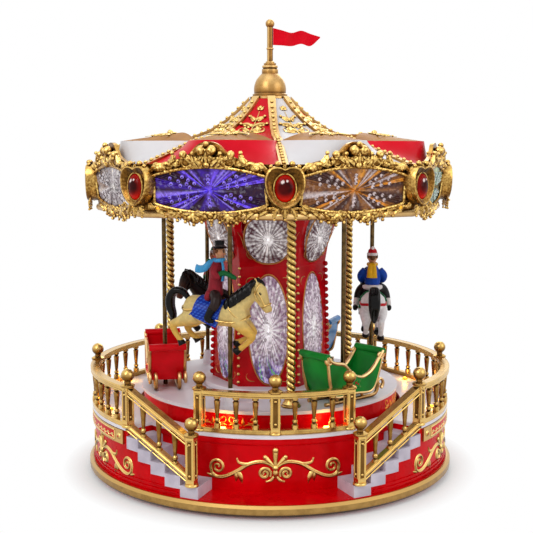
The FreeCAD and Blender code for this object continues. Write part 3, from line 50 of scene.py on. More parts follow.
def wired(tree, kind, settings, sockets, out):
    """A node with its settings, then the values or links of its sockets; gives one of its outputs."""
    node = tree.nodes.new(kind)
    for key, value in dict(settings).items():
        if key == "stops":
            while len(node.color_ramp.elements) < len(value):
                node.color_ramp.elements.new(1.0)
            for element, (position, colour) in zip(node.color_ramp.elements, value):
                element.position = position
                element.color = colour
        else:
            setattr(node, key, value)
    for key, value in dict(sockets).items():
        if isinstance(value, bpy.types.NodeSocket):
            tree.links.new(value, node.inputs[key])
        else:
            node.inputs[key].default_value = value
    return node.outputs[out]


class Tone:
    """A socket of a finish; sums on it add Math nodes."""

    def __init__(self, finish, socket):
        self.finish = finish
        self.socket = socket

    def sum_with(self, operation, first, second):
        return self.finish.add("ShaderNodeMath", {"operation": operation}, {0: first, 1: second})

    def __add__(self, other):
        return self.sum_with("ADD", self, other)

    def __radd__(self, other):
        return self.sum_with("ADD", other, self)

    def __sub__(self, other):
        return self.sum_with("SUBTRACT", self, other)

    def __rsub__(self, other):
        return self.sum_with("SUBTRACT", other, self)

    def __mul__(self, other):
        return self.sum_with("MULTIPLY", self, other)

    def __rmul__(self, other):
        return self.sum_with("MULTIPLY", other, self)


class Finish:
    """A surface finish: one shader and the nodes that vary it."""

    def __init__(self, name, **constants):
        self.material = bpy.data.materials.new(name)
        self.material.use_nodes = True
        self.tree = self.material.node_tree
        self.shader = self.tree.nodes["Principled BSDF"]
        for socket, value in constants.items():
            self.shader.inputs[socket.replace("_", " ")].default_value = value
        self.place = self.add("ShaderNodeTexCoord", out="Object")

    def add(self, kind, settings=(), sockets=(), out=0):
        plugs = {
            key: value.socket if isinstance(value, Tone) else value
            for key, value in dict(sockets).items()}
        return Tone(self, wired(self.tree, kind, settings, plugs, out))

    def feed(self, **tones):
        for socket, tone in tones.items():
            self.tree.links.new(tone.socket, self.shader.inputs[socket.replace("_", " ")])
        return self

    def speckle(self, scale, detail=3.0):
        return self.add(
            "ShaderNodeTexNoise", {}, {"Vector": self.place, "Scale": scale, "Detail": detail}, "Fac")

    def tint(self):
        return self.add("ShaderNodeAttribute", {"attribute_name": "tint"}, out="Color")

    def ramp(self, tone, *stops):
        return self.add("ShaderNodeValToRGB", {"stops": stops}, {"Fac": tone}, "Color")

    def mixed(self, share, first, second):
        return self.add("ShaderNodeMix", {"data_type": "RGBA"}, {0: share, 6: first, 7: second}, 2)

    def dented(self, tone, depth, strength=0.4):
        sockets = {"Strength": strength, "Distance": depth * MILLIMETRE, "Height": tone}
        return self.feed(Normal=self.add("ShaderNodeBump", {}, sockets, "Normal"))


def shade(red, green, blue):
    """A colour written as it shows, 0 to 255."""
    def straight(value):
        value /= 255
        return value / 12.92 if value < 0.04045 else ((value + 0.055) / 1.055) ** 2.4
    return (straight(red), straight(green), straight(blue), 1.0)


def moulded(name, dark, light, roughness, coat=0.0, metallic=0.0, scale=90.0, depth=0.02, gleam=0.22):
    """Moulded or painted surface: two close shades in clouds, fine orange peel and uneven gloss."""
    finish = Finish(
        name, Coat_Roughness=0.12, Metallic=metallic, Coat_Weight=coat, Specular_IOR_Level=gleam)
    cloud = finish.speckle(scale)
    finish.feed(
        Base_Color=finish.ramp(cloud, (0.3, shade(*dark)), (0.7, shade(*light))),
        Roughness=cloud * 0.12 + (roughness - 0.06))
    return finish.dented(finish.speckle(scale * 14), depth)


def dress(finish, *nodes):
    for node in nodes:
        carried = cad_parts[node]
        carried.data.materials.clear()
        carried.data.materials.append(finish.material)


dress(moulded("foot_rubber", (24, 22, 22), (40, 37, 36), 0.75, scale=400, depth=0.05), "feet")
dress(
    moulded("cover_plastic", (22, 22, 24), (34, 34, 37), 0.5), "bottom_cover", "battery_door",
    "volume_wheel", "power_switch", "battery_box", "speaker")
dress(
    moulded("zinc_steel", (150, 150, 155), (190, 190, 195), 0.3, metallic=1.0), "cover_screws", "cells",
    "gear_motor")
dress(moulded("board_lacquer", (10, 62, 30), (20, 84, 42), 0.3), "sound_board", "lamp_board")
dress(
    moulded("nylon_wheel", (222, 218, 205), (236, 232, 222), 0.45), "drive_pinion", "ring_gear",
    "lift_cam", "spindle_post", "canopy_carrier")


# Base drum: a red plastic moulding with a set-back front, a moulded lip and a gold rim round its foot.
# Sprayed gloss red; the gold is metallic paint with a brown wash in the hollows, deepened by painted
# shade.
def antique(name, wash_and_shade, body, bright, roughness=0.27, grain=0.1, lean=0.34):
    """Gold paint, washed brown in the hollows with painted shade added there, painted highlights on the
    edges and painted light on upward faces. Grain is how deeply the cast is chased, its fine flecks partly
    painted reflection, and lean how much lighter the tops and darker the undersides are painted."""
    finish = Finish(name, Metallic=0.95)
    edge = finish.add("ShaderNodeNewGeometry", out="Pointiness")
    hollow = finish.add("ShaderNodeAmbientOcclusion", {"samples": 4}, {"Distance": 0.005}, "AO")
    upward = finish.add(
        "ShaderNodeSeparateXYZ", {}, {0: finish.add("ShaderNodeNewGeometry", out="Normal")}, "Z")
    cloud = finish.speckle(240)
    chased = finish.speckle(760, 1.0)
    # Painted light and shade: hollows darker (with the wash), sharp edges and upward faces lighter,
    # undersides darker; chased flecks partly stand for reflections
    painted_light_and_grain = hollow * 0.7 + (edge - 0.5) * 3.5 + cloud * 0.3 + (chased - 0.52) * grain + upward * lean - 0.24
    finish.feed(
        Base_Color=finish.ramp(painted_light_and_grain, (0.12, shade(*wash_and_shade)), (0.62, shade(*body)), (1.0, shade(*bright))),
        Roughness=cloud * 0.2 + (roughness - 0.08))
    return finish.dented(finish.speckle(1500), 0.03)


rim_gold = antique("rim_gold", (58, 36, 12), (114, 80, 38), (204, 164, 96), 0.3)
gloss_red = moulded("gloss_red", (206, 0, 6), (230, 0, 15), 0.28, coat=0.02, gleam=0.06)
dress(rim_gold, "rim_ring", "plaque_band")
dress(gloss_red, "base_shell")


# Scrolls on the base: relief ornament moulded with the wall and picked out in gold. A flower in the middle
# of the front with S-shaped vines to both sides, and the same below each plaque round the drum.
def joined(shells):
    points, faces = [], []
    for shell_points, shell_faces in shells:
        first = len(points)
        points += shell_points
        faces += [[corner + first for corner in face] for face in shell_faces]
    return points, faces


def about(angle):
    return Matrix.Rotation(math.radians(angle), 4, "Z")


def out_at(angle, radius, height):
    """A point at an angle from the front, in degrees, and a distance from the axis."""
    return about(angle) @ Vector((0.0, -radius, height))


def circle(count):
    """Cosine and sine at even steps round a circle."""
    return [(math.cos(2 * math.pi * k / count), math.sin(2 * math.pi * k / count)) for k in range(count)]


def globe(rows, sides):
    """Rings of points on a ball of radius one, from below."""
    tilts = [math.pi * (row + 0.5) / rows for row in range(rows)]
    return [
        [(math.sin(tilt) * x, math.sin(tilt) * y, -math.cos(tilt)) for x, y in circle(sides)]
        for tilt in tilts]


def ringed(rings):
    """Faces over rings of points with the same count; both ends get a fan."""
    count = len(rings[0])
    points = [point for ring in rings for point in ring]
    faces = []
    for row in range(len(rings) - 1):
        for i in range(count):
            j = (i + 1) % count
            faces.append([row * count + i, row * count + j, (row + 1) * count + j, (row + 1) * count + i])
    for ring, order in ((0, -1), (len(rings) - 1, 1)):
        middle = len(points)
        points.append(sum(rings[ring], Vector()) / count)
        for i in range(count):
            pair = [ring * count + i, ring * count + (i + 1) % count][::order]
            faces.append(pair + [middle])
    return points, faces


def on_wall(radius, middle, height):
    """Across, up and out on a round wall."""
    def place(across, up, out):
        angle = math.radians(middle) + across / radius
        return Vector(((radius + out) * math.sin(angle), -(radius + out) * math.cos(angle), height + up))
    return place


def vine(start, heading, length, bend, last_bend, steps=26):
    """A curl: a line whose bend, in degrees a millimetre, changes evenly along it."""
    across, up = start
    path = [(across, up)]
    step = length / steps
    for i in range(steps):
        heading += (bend + (last_bend - bend) * (i + 0.5) / steps) * step
        across += math.cos(math.radians(heading)) * step
        up += math.sin(math.radians(heading)) * step
        path.append((across, up))
    return path


def stem(share):
    return 0.35 + 0.65 * math.sin(math.pi * min(1.0, share * 1.15 + 0.05))


def blade(share):
    return max(0.05, math.sin(math.pi * share ** 0.75))


def petal(share):
    return 0.5 + 0.5 * share


def swell(share):
    return 0.55 + 0.45 * math.sin(math.pi * min(1.0, share + 0.15))


def stroke(place, path, width, profile=stem, flat=0.75, lift=0.0, sides=8):
    """A raised half-round line along a path, laid on the surface that place maps to."""
    rings = []
    last = len(path) - 1
    for i, (across, up) in enumerate(path):
        after, before = path[min(i + 1, last)], path[max(i - 1, 0)]
        du, dv = after[0] - before[0], after[1] - before[1]
        size = math.hypot(du, dv) or 1.0
        half = width / 2 * profile(i / last)
        rings.append([
            place(across - dv / size * (half * x), up + du / size * (half * x), half * flat * y + lift)
            for x, y in circle(sides)])
    return ringed(rings)


def boss(place, across, up, radius, flat=0.8, sides=10, lift=0.0):
    """A raised button."""
    return ringed([
        [place(across + radius * x, up + radius * y, lift + radius * flat * z) for x, y, z in ring]
        for ring in globe(5, sides)])


def leaf(place, start, heading, length, width, bend=0.0, flat=0.5, lift=0.0):
    return stroke(place, vine(start, heading, length, bend, bend, 10), width, blade, flat, lift)


def relief(place, build, *rows):
    """One kind of ornament, once for each row of its sizes."""
    return [build(place, *row) for row in rows]


def both_sides(place, build):
    """The same ornament and its mirror image."""
    def mirror(across, up, out):
        return place(-across, up, out)
    return build(place) + build(mirror)


def link(name, data):
    """A new object in the scene."""
    made = bpy.data.objects.new(name, data)
    bpy.context.scene.collection.objects.link(made)
    return made


def settle(made, body, slot, replaces):
    """Give an object its body and hide the CAD nodes that it stands for; the slot is not used."""
    if replaces:
        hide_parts(*replaces)
    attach(made, body)


FULL = (1.0, 1.0, 1.0, 1.0)


def piece(name, parts, body="base", slot="antique_gold", replaces=(), crease=45):
    """One object from shells in millimetres; parts are shell, finish and, where painted, its tint."""
    mesh = bpy.data.meshes.new(name)
    points, faces = joined([part[0] for part in parts])
    mesh.from_pydata([point * MILLIMETRE for point in points], [], faces)
    finishes = list(dict.fromkeys(part[1] for part in parts))
    for finish in finishes:
        mesh.materials.append(finish.material)
    marks = [finishes.index(finish) for shell, finish, *_ in parts for face in shell[1]]
    mesh.polygons.foreach_set("material_index", marks)
    if any(len(part) > 2 for part in parts):
        tints = [tint[0](point) if tint else FULL for shell, _, *tint in parts for point in shell[0]]
        layer = mesh.attributes.new("tint", "FLOAT_COLOR", "POINT")
        layer.data.foreach_set("color", [value for tint in tints for value in tint])
    work = bmesh.new()
    work.from_mesh(mesh)
    bmesh.ops.recalc_face_normals(work, faces=work.faces)
    work.to_mesh(mesh)
    work.free()
    mesh.polygons.foreach_set("use_smooth", [True] * len(mesh.polygons))
    mesh.set_sharp_from_angle(angle=math.radians(crease))
    settle(link(name, mesh), body, slot, replaces)


def smooth_line(points, steps=8):
    """A line through points, rounded between them."""
    points = [Vector(point) for point in points]
    ends = [2 * points[0] - points[1]] + points + [2 * points[-1] - points[-2]]
    line = []
    for i in range(1, len(ends) - 2):
        a, b, c, d = ends[i - 1:i + 3]
        for k in range(steps):
            t = k / steps
            bow = (2 * a - 5 * b + 4 * c - d) * t * t
            line.append(0.5 * (2 * b + (c - a) * t + bow + (3 * b - a - 3 * c + d) * t ** 3))
    return line + [points[-1]]


def curve(*points):
    return [(point.x, point.y) for point in smooth_line([(across, up, 0.0) for across, up in points])]


def spiral(middle, start, end, first, last, steps=40):
    """A curl round a point, from one radius and angle to another."""
    path = []
    for i in range(steps + 1):
        radius = start + (end - start) * i / steps
        turn = math.radians(first + (last - first) * i / steps)
        path.append((middle[0] + radius * math.cos(turn), middle[1] + radius * math.sin(turn)))
    return path


def fluted(place, path, width):
    """A flat stem with a raised line along its middle."""
    return [
        stroke(place, path, width, swell, 0.5),
        stroke(place, path, width * 0.42, swell, 1.0, width * 0.2, 6)]


def half_scroll(place):
    """Half of a scroll: a petal and a volute by the middle, and a stem that dips to a second volute."""
    main_stem = curve(
        (0.6, -0.8), (3.4, 1.5), (7.0, 2.7), (11.5, 2.4), (16.0, 0.9), (20.0, -1.8), (25.0, -4.8),
        (30.0, -7.0), (35.0, -7.4), (38.2, -5.2))
    shells = [stroke(place, [(0.8, 0.2), (3.0, 2.6), (5.4, 5.2)], 2.8, petal), boss(place, 5.8, 5.6, 1.5)]
    for path, width in (
            (spiral((6.2, -4.2), 3.7, 0.7, 205, -400), 2.0),
            (curve((0.8, -6.0), (2.6, -8.2), (5.4, -9.0)), 1.8),
            (main_stem + spiral((34.2, -1.4), 4.7, 0.8, -32, 540), 2.5),
            (curve((14.0, 1.6), (18.0, 1.2), (21.4, 2.0), (22.6, 4.6)), 1.9)):
        shells += fluted(place, path, width)
    return shells + relief(
        place, leaf, ((23.0, -2.6), 226, 9.0, 3.2, 4), ((23.4, -3.2), 250, 6.6, 2.8, 5),
        ((25.0, -4.0), 206, 7.0, 2.4, 3), ((35.5, -7.4), 4, 6.0, 2.2, 3))


def palmette(place):
    return [
        stroke(place, [(0.0, up) for up in (-1.0, 3.0, 7.0, 9.6)], 3.6, petal), boss(place, 0.0, 9.6, 1.9),
        boss(place, 0.0, -0.6, 1.9, 1.0), leaf(place, (0.0, -1.5), -90, 6.0, 3.0)]


def swept(wall, profile, first, last, steps=48):
    """A moulding along a round wall between two angles; the profile is how far out and how high."""
    angles = [first + (last - first) * k / steps for k in range(steps + 1)]
    return ringed([[out_at(angle, wall + out, height) for out, height in profile] for angle in angles])


FRONT_WALL, OUTER_WALL, BAY_START, BAY_SWEEP = 97.0, 116.0, 48.75, 43.75
FRONT_SCROLL, SIDE_SCROLL = 24.4, 21.5
STAIR_SHIFT, SWITCH_SHIFT = 4.6, 9.6
bay_middles = [BAY_START + BAY_SWEEP * (bay + 0.5) for bay in range(6)]
scroll_shifts = (-STAIR_SHIFT, 0.0, -SWITCH_SHIFT, SWITCH_SHIFT, 0.0, STAIR_SHIFT)
scroll_spots = [on_wall(FRONT_WALL, 0.0, FRONT_SCROLL)]
scroll_spots += [
    on_wall(OUTER_WALL, middle + shift, SIDE_SCROLL) for middle, shift in zip(bay_middles, scroll_shifts)]
base_scrolls = []
for spot in scroll_spots:
    base_scrolls += palmette(spot) + both_sides(spot, half_scroll)
gold = antique("antique_gold", (40, 22, 4), (146, 100, 40), (250, 214, 132), grain=0.25, lean=0.44)
piece("base_scrolls", [(joined(base_scrolls), gold)])
lips = [swept(FRONT_WALL, [(-0.1, 36.8), (0.6, 37.1), (1.0, 37.9), (1.0, 41.0), (-0.1, 41.0)], -47, 47)]
for low in (10.6, 13.0):
    lips.append(
        swept(
            OUTER_WALL, [(-0.1, low), (0.8, low + 0.3), (0.8, low + 0.9), (-0.1, low + 1.2)], 29, 331,
            120))
piece("wall_mouldings", [(joined(lips), gloss_red)], "base", "red_gloss")


# Plaques: a gold band under the deck edge with a red field in each bay, framed by a bead and filled with
# plain scrolls, and a round stud at each end. Moulded in relief and painted.
def even(_):
    return 1.0


def beading(place, path, width, flat=0.9, lift=0.0):
    """A narrow raised line of even width."""
    return stroke(place, path, width, even, flat, lift, 6)


def tendril(place, start, heading, length, bend, last_bend, width, lift=0.0, sides=8):
    """A raised curl."""
    return stroke(place, vine(start, heading, length, bend, last_bend), width, lift=lift, sides=sides)


PLAQUE_FACE, PLAQUE_MIDDLE, PLAQUE_HALF, FIELD_HALF, FRAME_HALF = 117.4, 36.15, 32.0, 2.6, 2.8
STUD_SPOT, FRAME_BEAD = PLAQUE_HALF + 5.0, 0.9
field_foot, field_head = PLAQUE_MIDDLE - FIELD_HALF, PLAQUE_MIDDLE + FIELD_HALF
half_sweep = math.degrees(PLAQUE_HALF / PLAQUE_FACE)
fields, plaque_relief, stud_eyes = [], [], []
for middle in bay_middles:
    at = on_wall(PLAQUE_FACE, middle, PLAQUE_MIDDLE)
    fields.append(
        swept(
            PLAQUE_FACE, [(-0.1, field_foot), (0.12, field_foot), (0.12, field_head), (-0.1, field_head)],
            middle - half_sweep, middle + half_sweep))
    for up in (-FRAME_HALF, FRAME_HALF):
        plaque_relief.append(
            beading(at, [(PLAQUE_HALF * (k / 12 - 1), up) for k in range(25)], FRAME_BEAD))
    for way in (-1, 1):
        plaque_relief.append(
            beading(at, [(way * PLAQUE_HALF, up) for up in (-FRAME_HALF, 0.0, FRAME_HALF)], FRAME_BEAD))
        plaque_relief.append(boss(at, way * STUD_SPOT, 0.0, 2.0, 0.4))
        stud_eyes.append(boss(at, way * STUD_SPOT, 0.0, 1.1, 0.9))
        for k in range(5):
            start = way * (2.0 + 5.8 * k)
            plaque_relief.append(
                tendril(at, (start, -1.4), 90 - way * 62, 8.5, -way * 4, -way * 38, 1.1, sides=6))
            plaque_relief.append(leaf(at, (start + way * 2.6, 0.4), 90 - way * 120, 3.4, 1.4, way * 8))
piece(
    "plaque_fields",
    [(joined(fields), gloss_red), (joined(stud_eyes), gloss_red), (joined(plaque_relief), gold)], "base",
    "red_gloss")


# Stairs and deck: pale lavender plastic, the two flights moulded with the front wall and the deck plate
# dropped onto the drum. Satin spray in clouds of a paler and a greyer lavender.
stair_grey = moulded("stair_grey", (190, 182, 198), (222, 214, 226), 0.5, scale=110)
deck_white = moulded("deck_white", (236, 230, 239), (250, 246, 251), 0.35, coat=0.05, scale=40)
dress(stair_grey, "stair_flights")
dress(deck_white, "deck", "platform_top")


# Balustrade: turned balusters, square posts with balls and flat rails, moulded in sections and gold
# plated. Brighter than the other gold, with painted shade in the necks and a painted shadow in each post
# panel.
def lathe(*profile, sides=28):
    """A turned shape from rows of radius and height."""
    rows = [(max(radius, 0.01), height) for radius, height in profile]
    return ringed(
        [[Vector((radius * x, radius * y, height)) for x, y in circle(sides)] for radius, height in rows])


def moved(shell, matrix):
    return [matrix @ point for point in shell[0]], shell[1]


def shifted(shell, way):
    return moved(shell, Matrix.Translation(way))


def tube(path, radii, sides=10, squash=(1.0, 1.0)):
    """A round bar along a line; the radius may change from point to point."""
    if isinstance(radii, (int, float)):
        radii = [radii] * len(path)
    rings = []
    last = len(path) - 1
    side = None
    for i, point in enumerate(path):
        along = (path[min(i + 1, last)] - path[max(i - 1, 0)]).normalized()
        if side is None:
            side = along.orthogonal() if abs(along.y) > 0.9 else along.cross(Vector((0, 1, 0)))
            side.normalize()
        side = (side - along * side.dot(along)).normalized()
        other = along.cross(side)
        rings.append(
            [point + radii[i] * (side * x * squash[0] + other * y * squash[1]) for x, y in circle(sides)])
    return ringed(rings)


bright_gold = antique("bright_gold", (58, 32, 8), (136, 94, 38), (226, 186, 108), 0.2, lean=0.55)
# Dark gold for the painted shadow in the post panels
panel_shadow_gold = antique("panel_shadow_gold", (36, 22, 6), (84, 56, 22), (140, 100, 46), 0.3)
dress(bright_gold, "rails", "balusters", "rail_posts", "ball_finials")
RAIL_LINE, FRONT_LINE, HALF_POST, DECK_TOP, POST_TOP, FRONT_POST = 115.6, 95.0, 2.6, 43.0, 69.2, 27.7
NEWEL_ANGLE, NEWEL_FOOT, NEWEL_TOP = 24.6, 16.0, 47.0
POST_GAP, FRAME_SIDE = 1.4, 1.6
posts = [(RAIL_LINE, BAY_START + BAY_SWEEP * bay, DECK_TOP, POST_TOP) for bay in range(7)]
posts += [(FRONT_LINE, angle, DECK_TOP, POST_TOP) for angle in (-FRONT_POST, 0.0, FRONT_POST)]
posts += [(RAIL_LINE, way * NEWEL_ANGLE, NEWEL_FOOT, NEWEL_TOP) for way in (-1, 1)]
frames, panel_shadows = [], []
cap = lathe(
    (2.4, -2.2), (4.0, -1.9), (4.3, -1.4), (4.3, -0.6), (3.6, -0.2), (2.7, 0.3), (2.2, 0.6), sides=24)
foot_block = lathe((2.4, 0.1), (4.0, 0.2), (4.0, 1.2), (3.5, 1.7), (2.4, 2.0), sides=24)
for radius, angle, foot, top in posts:
    frames += [shifted(cap, out_at(angle, radius, top)), shifted(foot_block, out_at(angle, radius, foot))]
    tall = (top - foot) / 2 - 4.2
    corners = [(-FRAME_SIDE, -tall), (FRAME_SIDE, -tall), (FRAME_SIDE, tall), (-FRAME_SIDE, tall)]
    for turn in (0, 90, 180, 270):
        side = Matrix.Translation(out_at(angle, radius, 0.0)) @ about(angle + turn)

        def face(across, up, out, at=side, middle=(foot + top) / 2):
            return at @ Vector((across, -HALF_POST - out, middle + up))

        for (u0, v0), (u1, v1) in zip(corners, corners[1:] + corners[:1]):
            frames.append(beading(face, [(u0, v0), ((u0 + u1) / 2, (v0 + v1) / 2), (u1, v1)], 0.8, 0.8))
        frames += [boss(face, 0.0, tall - 2.2, 1.0), boss(face, 0.0, -tall + 2.2, 1.0)]
        # Painted shadow: a dark flat strip in the panel of each post face stands for the shade of a recess
        panel_shadows.append(beading(face, [(0.0, -tall), (0.0, 0.0), (0.0, tall)], 2.8, 0.06))


def nosing(radius, first, last):
    """Beads along the upper and lower edge of a hand rail and along the foot rail."""
    beads = []
    for low, half, out in ((67.0, 2.45, 0.55), (64.6, 2.45, 0.4), (44.9, 1.85, 0.4)):
        beads.append(
            swept(
                radius + half, [(0.0, low), (out, low + 0.2), (out, low + 0.8), (0.0, low + 1.1)], first,
                last, 72))
    return beads


frames += nosing(RAIL_LINE, BAY_START + POST_GAP, 360 - BAY_START - POST_GAP)
frames += nosing(FRONT_LINE, POST_GAP - FRONT_POST, FRONT_POST - POST_GAP)
for way in (-1, 1):
    for low, high, half in ((NEWEL_TOP - 6.0, 64.8, 2.5), (NEWEL_FOOT + 3.0, DECK_TOP, 1.9)):
        ends = [out_at(way * NEWEL_ANGLE, RAIL_LINE, low), out_at(way * BAY_START, RAIL_LINE, high)]
        outward = out_at(way * (NEWEL_ANGLE + BAY_START) / 2, 1, 0) * half
        for rise in (1.5, -1.3):
            frames.append(tube([end + outward + Vector((0, 0, rise)) for end in ends], 0.5, 8))
piece("post_frames", [(joined(frames), bright_gold), (joined(panel_shadows), panel_shadow_gold)])


# Turning platform: a red drum under a pale plate, with gold vines round the drum and a raised lip.
# The drum is sprayed like the base; its vines are tinted orange as painted glow of the small deck lamps.
dress(gloss_red, "platform_drum")
dress(deck_white, "ceiling_ring", "canopy_floor")
# Painted light: the vines' gold is orange for the warm glow of the deck lamps, which also light them
lamp_glow_gold = antique("lamp_glow_gold", (120, 40, 10), (206, 110, 38), (246, 176, 80), 0.35)


def drum_scroll(place):
    curls = relief(
        place, tendril, ((0.6, -2.2), 30, 9.5, -3, -34, 1.1, 0.0, 6),
        ((3.0, 0.2), -36, 9.0, 6, 36, 1.0, 0.0, 6))
    return curls + relief(place, leaf, ((4.6, 1.2), 50, 3.4, 1.4, -8), ((6.0, -1.2), -30, 3.4, 1.4, 8))


DRUM_WALL, DRUM_MIDDLE, DRUM_BAYS = 84.0, 46.6, 28
drum_ornament = []
for bay in range(DRUM_BAYS):
    if bay % 7 > 4:
        around = on_wall(DRUM_WALL, 360 / DRUM_BAYS * bay, DRUM_MIDDLE)
        drum_ornament += both_sides(around, drum_scroll) + [leaf(around, (0.0, -2.0), 90, 4.6, 1.8)]
drum_lip = swept(
    DRUM_WALL, [(-0.1, 50.1), (0.5, 50.3), (0.7, 50.8), (0.7, 51.7), (-0.1, 51.7)], 0, 360, 120)
piece("drum_vines", [(joined(drum_ornament), lamp_glow_gold), (drum_lip, gloss_red)], "turntable")


# Column: a six-sided red casing with a waist, gold line work and studs on its corners, and ribbed clear
# lenses lit from inside. Moulded in one with the lenses welded in from behind.
column_red = moulded("column_red", (172, 0, 10), (212, 5, 20), 0.24, coat=0.05, gleam=0.12)
dress(column_red, "column_shell")
dress(deck_white, "column_plinth")
COLUMN_TURN = -3.4
COLUMN_LEVELS = [(56.7, 38.5), (133.7, 36.5), (170.0, 49.0)]
COLUMN_CORNER = [(59.5, 38.6), (132.5, 36.75)]
SIX_FLAT = math.cos(math.radians(30))


def on_plane(middle, low, high):
    """Across, up and out on a flat panel; low and high are its height and its distance from the axis."""
    (z0, d0), (z1, d1) = low, high
    angle = math.radians(middle)
    outward = Vector((math.sin(angle), -math.cos(angle), 0.0))
    across_way = Vector((math.cos(angle), math.sin(angle), 0.0))
    up_way = (outward * (d1 - d0) + Vector((0.0, 0.0, z1 - z0))).normalized()
    out_way = across_way.cross(up_way)
    origin = outward * ((d0 + d1) / 2) + Vector((0.0, 0.0, (z0 + z1) / 2))

    def place(across, up, out):
        return origin + across_way * across + up_way * up + out_way * out
    return place


def offset(place, rise=0.0, lift=0.0):
    """The same panel, with its middle further up or out."""
    def other(across, up, out):
        return place(across, up + rise, out + lift)
    return other


def flattened(place, out=0.0):
    """The way back from a point in space to across and up on a flat panel."""
    middle = place(0, 0, out)
    across_way, up_way = place(1, 0, out) - middle, place(0, 1, out) - middle

    def back(point):
        return (point - middle).dot(across_way), (point - middle).dot(up_way)
    return back


def clamp(value):
    return min(1.0, max(0.0, value))


def blend(first, second, share):
    return tuple(a + (b - a) * share for a, b in zip(first, second))


def burst(place, border, spokes, rings, depth, back):
    """A lens with ridges that radiate from its middle and rows of small dimples, closed at the back."""
    count = spokes * 4
    turns = [2 * math.pi * k / count for k in range(count)]
    rows = [[place(0.02 * x, 0.02 * y, depth * 0.6) for x, y in circle(count)]]
    for row in range(1, rings + 1):
        share = row / rings
        dome = 1.0 - share * share
        ring = []
        for k, turn in enumerate(turns):
            across, up = border(turn)
            ridge = (0.0, 0.7, 1.0, 0.7)[k % 4] * min(1.0, share * 3)
            dimple = 0.25 if row % 2 and k % 4 == 2 else 0.0
            ring.append(place(across * share, up * share, depth * (0.7 * dome + 0.55 * ridge - dimple)))
        rows.append(ring)
    rows.append([place(*border(turn), -back) for turn in turns])
    return ringed(rows)


LOW_HALF, HIGH_HALF = (12.45, 34.45), (14.6, 15.6)
NONE = (0.0, 0.0, 0.0, 1.0)


def oval(turn):
    return LOW_HALF[0] * math.cos(turn), LOW_HALF[1] * math.sin(turn)


def shield(turn):
    side, rise = math.cos(turn), math.sin(turn)
    narrow = 1.0 - 0.16 * max(0.0, -rise)
    return (
        HIGH_HALF[0] * narrow * math.copysign(abs(side) ** 0.8, side),
        HIGH_HALF[1] * math.copysign(abs(rise) ** 0.85, rise))


def lit_lens(name, glow, sparkle):
    """Clear ribbed plastic with lamps behind it; the tint carries the lamp's colour.
    Random facets get painted shade and painted glints.
    """
    finish = Finish(
        name, Roughness=0.12, Coat_Weight=0.08, Coat_Roughness=0.05, Emission_Strength=glow,
        Specular_IOR_Level=0.14)
    tint = finish.tint()
    spark = finish.add("ShaderNodeTexVoronoi", {}, {"Vector": finish.place, "Scale": 520.0}, "Distance")
    cut = finish.add("ShaderNodeTexVoronoi", {}, {"Vector": finish.place, "Scale": 680.0}, "Color")
    facet_light = finish.add("ShaderNodeSeparateXYZ", {}, {0: cut}, "X")
    # Painted shade on random dark facets and painted glints on bright ones
    deep = finish.ramp(facet_light, (0.1, FULL), (0.5, NONE))
    painted_glint = finish.ramp(facet_light, (0.72, NONE), (0.95, FULL))
    shaded = finish.mixed(deep * 0.5, tint, (0.06, 0.02, 0.03, 1.0))
    finish.feed(
        Base_Color=finish.mixed(painted_glint * sparkle, shaded, (0.95, 0.93, 0.98, 1.0)), Emission_Color=shaded)
    return finish.dented(spark, 0.25, 0.5)


# Painted glints: coloured spots that stand for light caught in the glass
PAINTED_GLINTS = [
    shade(*painted_glint)
    for painted_glint in (
        (96, 50, 196), (40, 26, 70), (190, 170, 235), (60, 190, 80), (70, 40, 130), (225, 215, 245),
        (120, 84, 210), (46, 34, 84))]


def crystal_tint(place, half, spokes, rows, dark, bright, glints):
    """Cut glass: bright ribs broken into beads, dark between, and painted glints in the lower part where
    asked.
    """
    back = flattened(place)
    dark, bright = shade(*dark), shade(*bright)

    def tint(point):
        across, up = (reach / size for reach, size in zip(back(point), half))
        share, turn = math.hypot(across, up), math.atan2(up, across)
        spoke, row = int((turn / math.pi + 1) * spokes / 2 + 0.5), int(share * rows)
        chance = math.sin(spoke * 12.99 + row * 78.23) * 437.5 % 1
        streak = math.sin(spoke * 3.7) * 91.7 % 1
        rib = 0.5 + 0.5 * math.cos(turn * spokes)
        bead = 0.5 + 0.5 * math.cos(2 * math.pi * (share * rows + chance * 0.4))
        beaded = clamp(share * 2.0 - 0.7)
        ribbed = rib * (0.55 + 0.45 * streak) * (1.0 - beaded * 0.7 * (1 - bead))
        light = ribbed + beaded * (chance - 0.6) * 0.7
        light = clamp(light + 0.3 * (1 - share) + max(0.0, 1.0 - share * 4.0))
        colour = blend(dark, bright, light)
        if not glints or share < 0.45:
            return colour
        # Painted glints in the lower part of the lens
        painted_glint = PAINTED_GLINTS[(int((turn + 4) * spokes / math.pi) * 5 + row * 3) % len(PAINTED_GLINTS)]
        return blend(colour, painted_glint, min(1.0, max(0.0, -up - 0.4) * 3.0) * 0.75)
    return tint


clear_lens = lit_lens("clear_lens", 0.34, 0.5)
LENS_BACK = 1.5
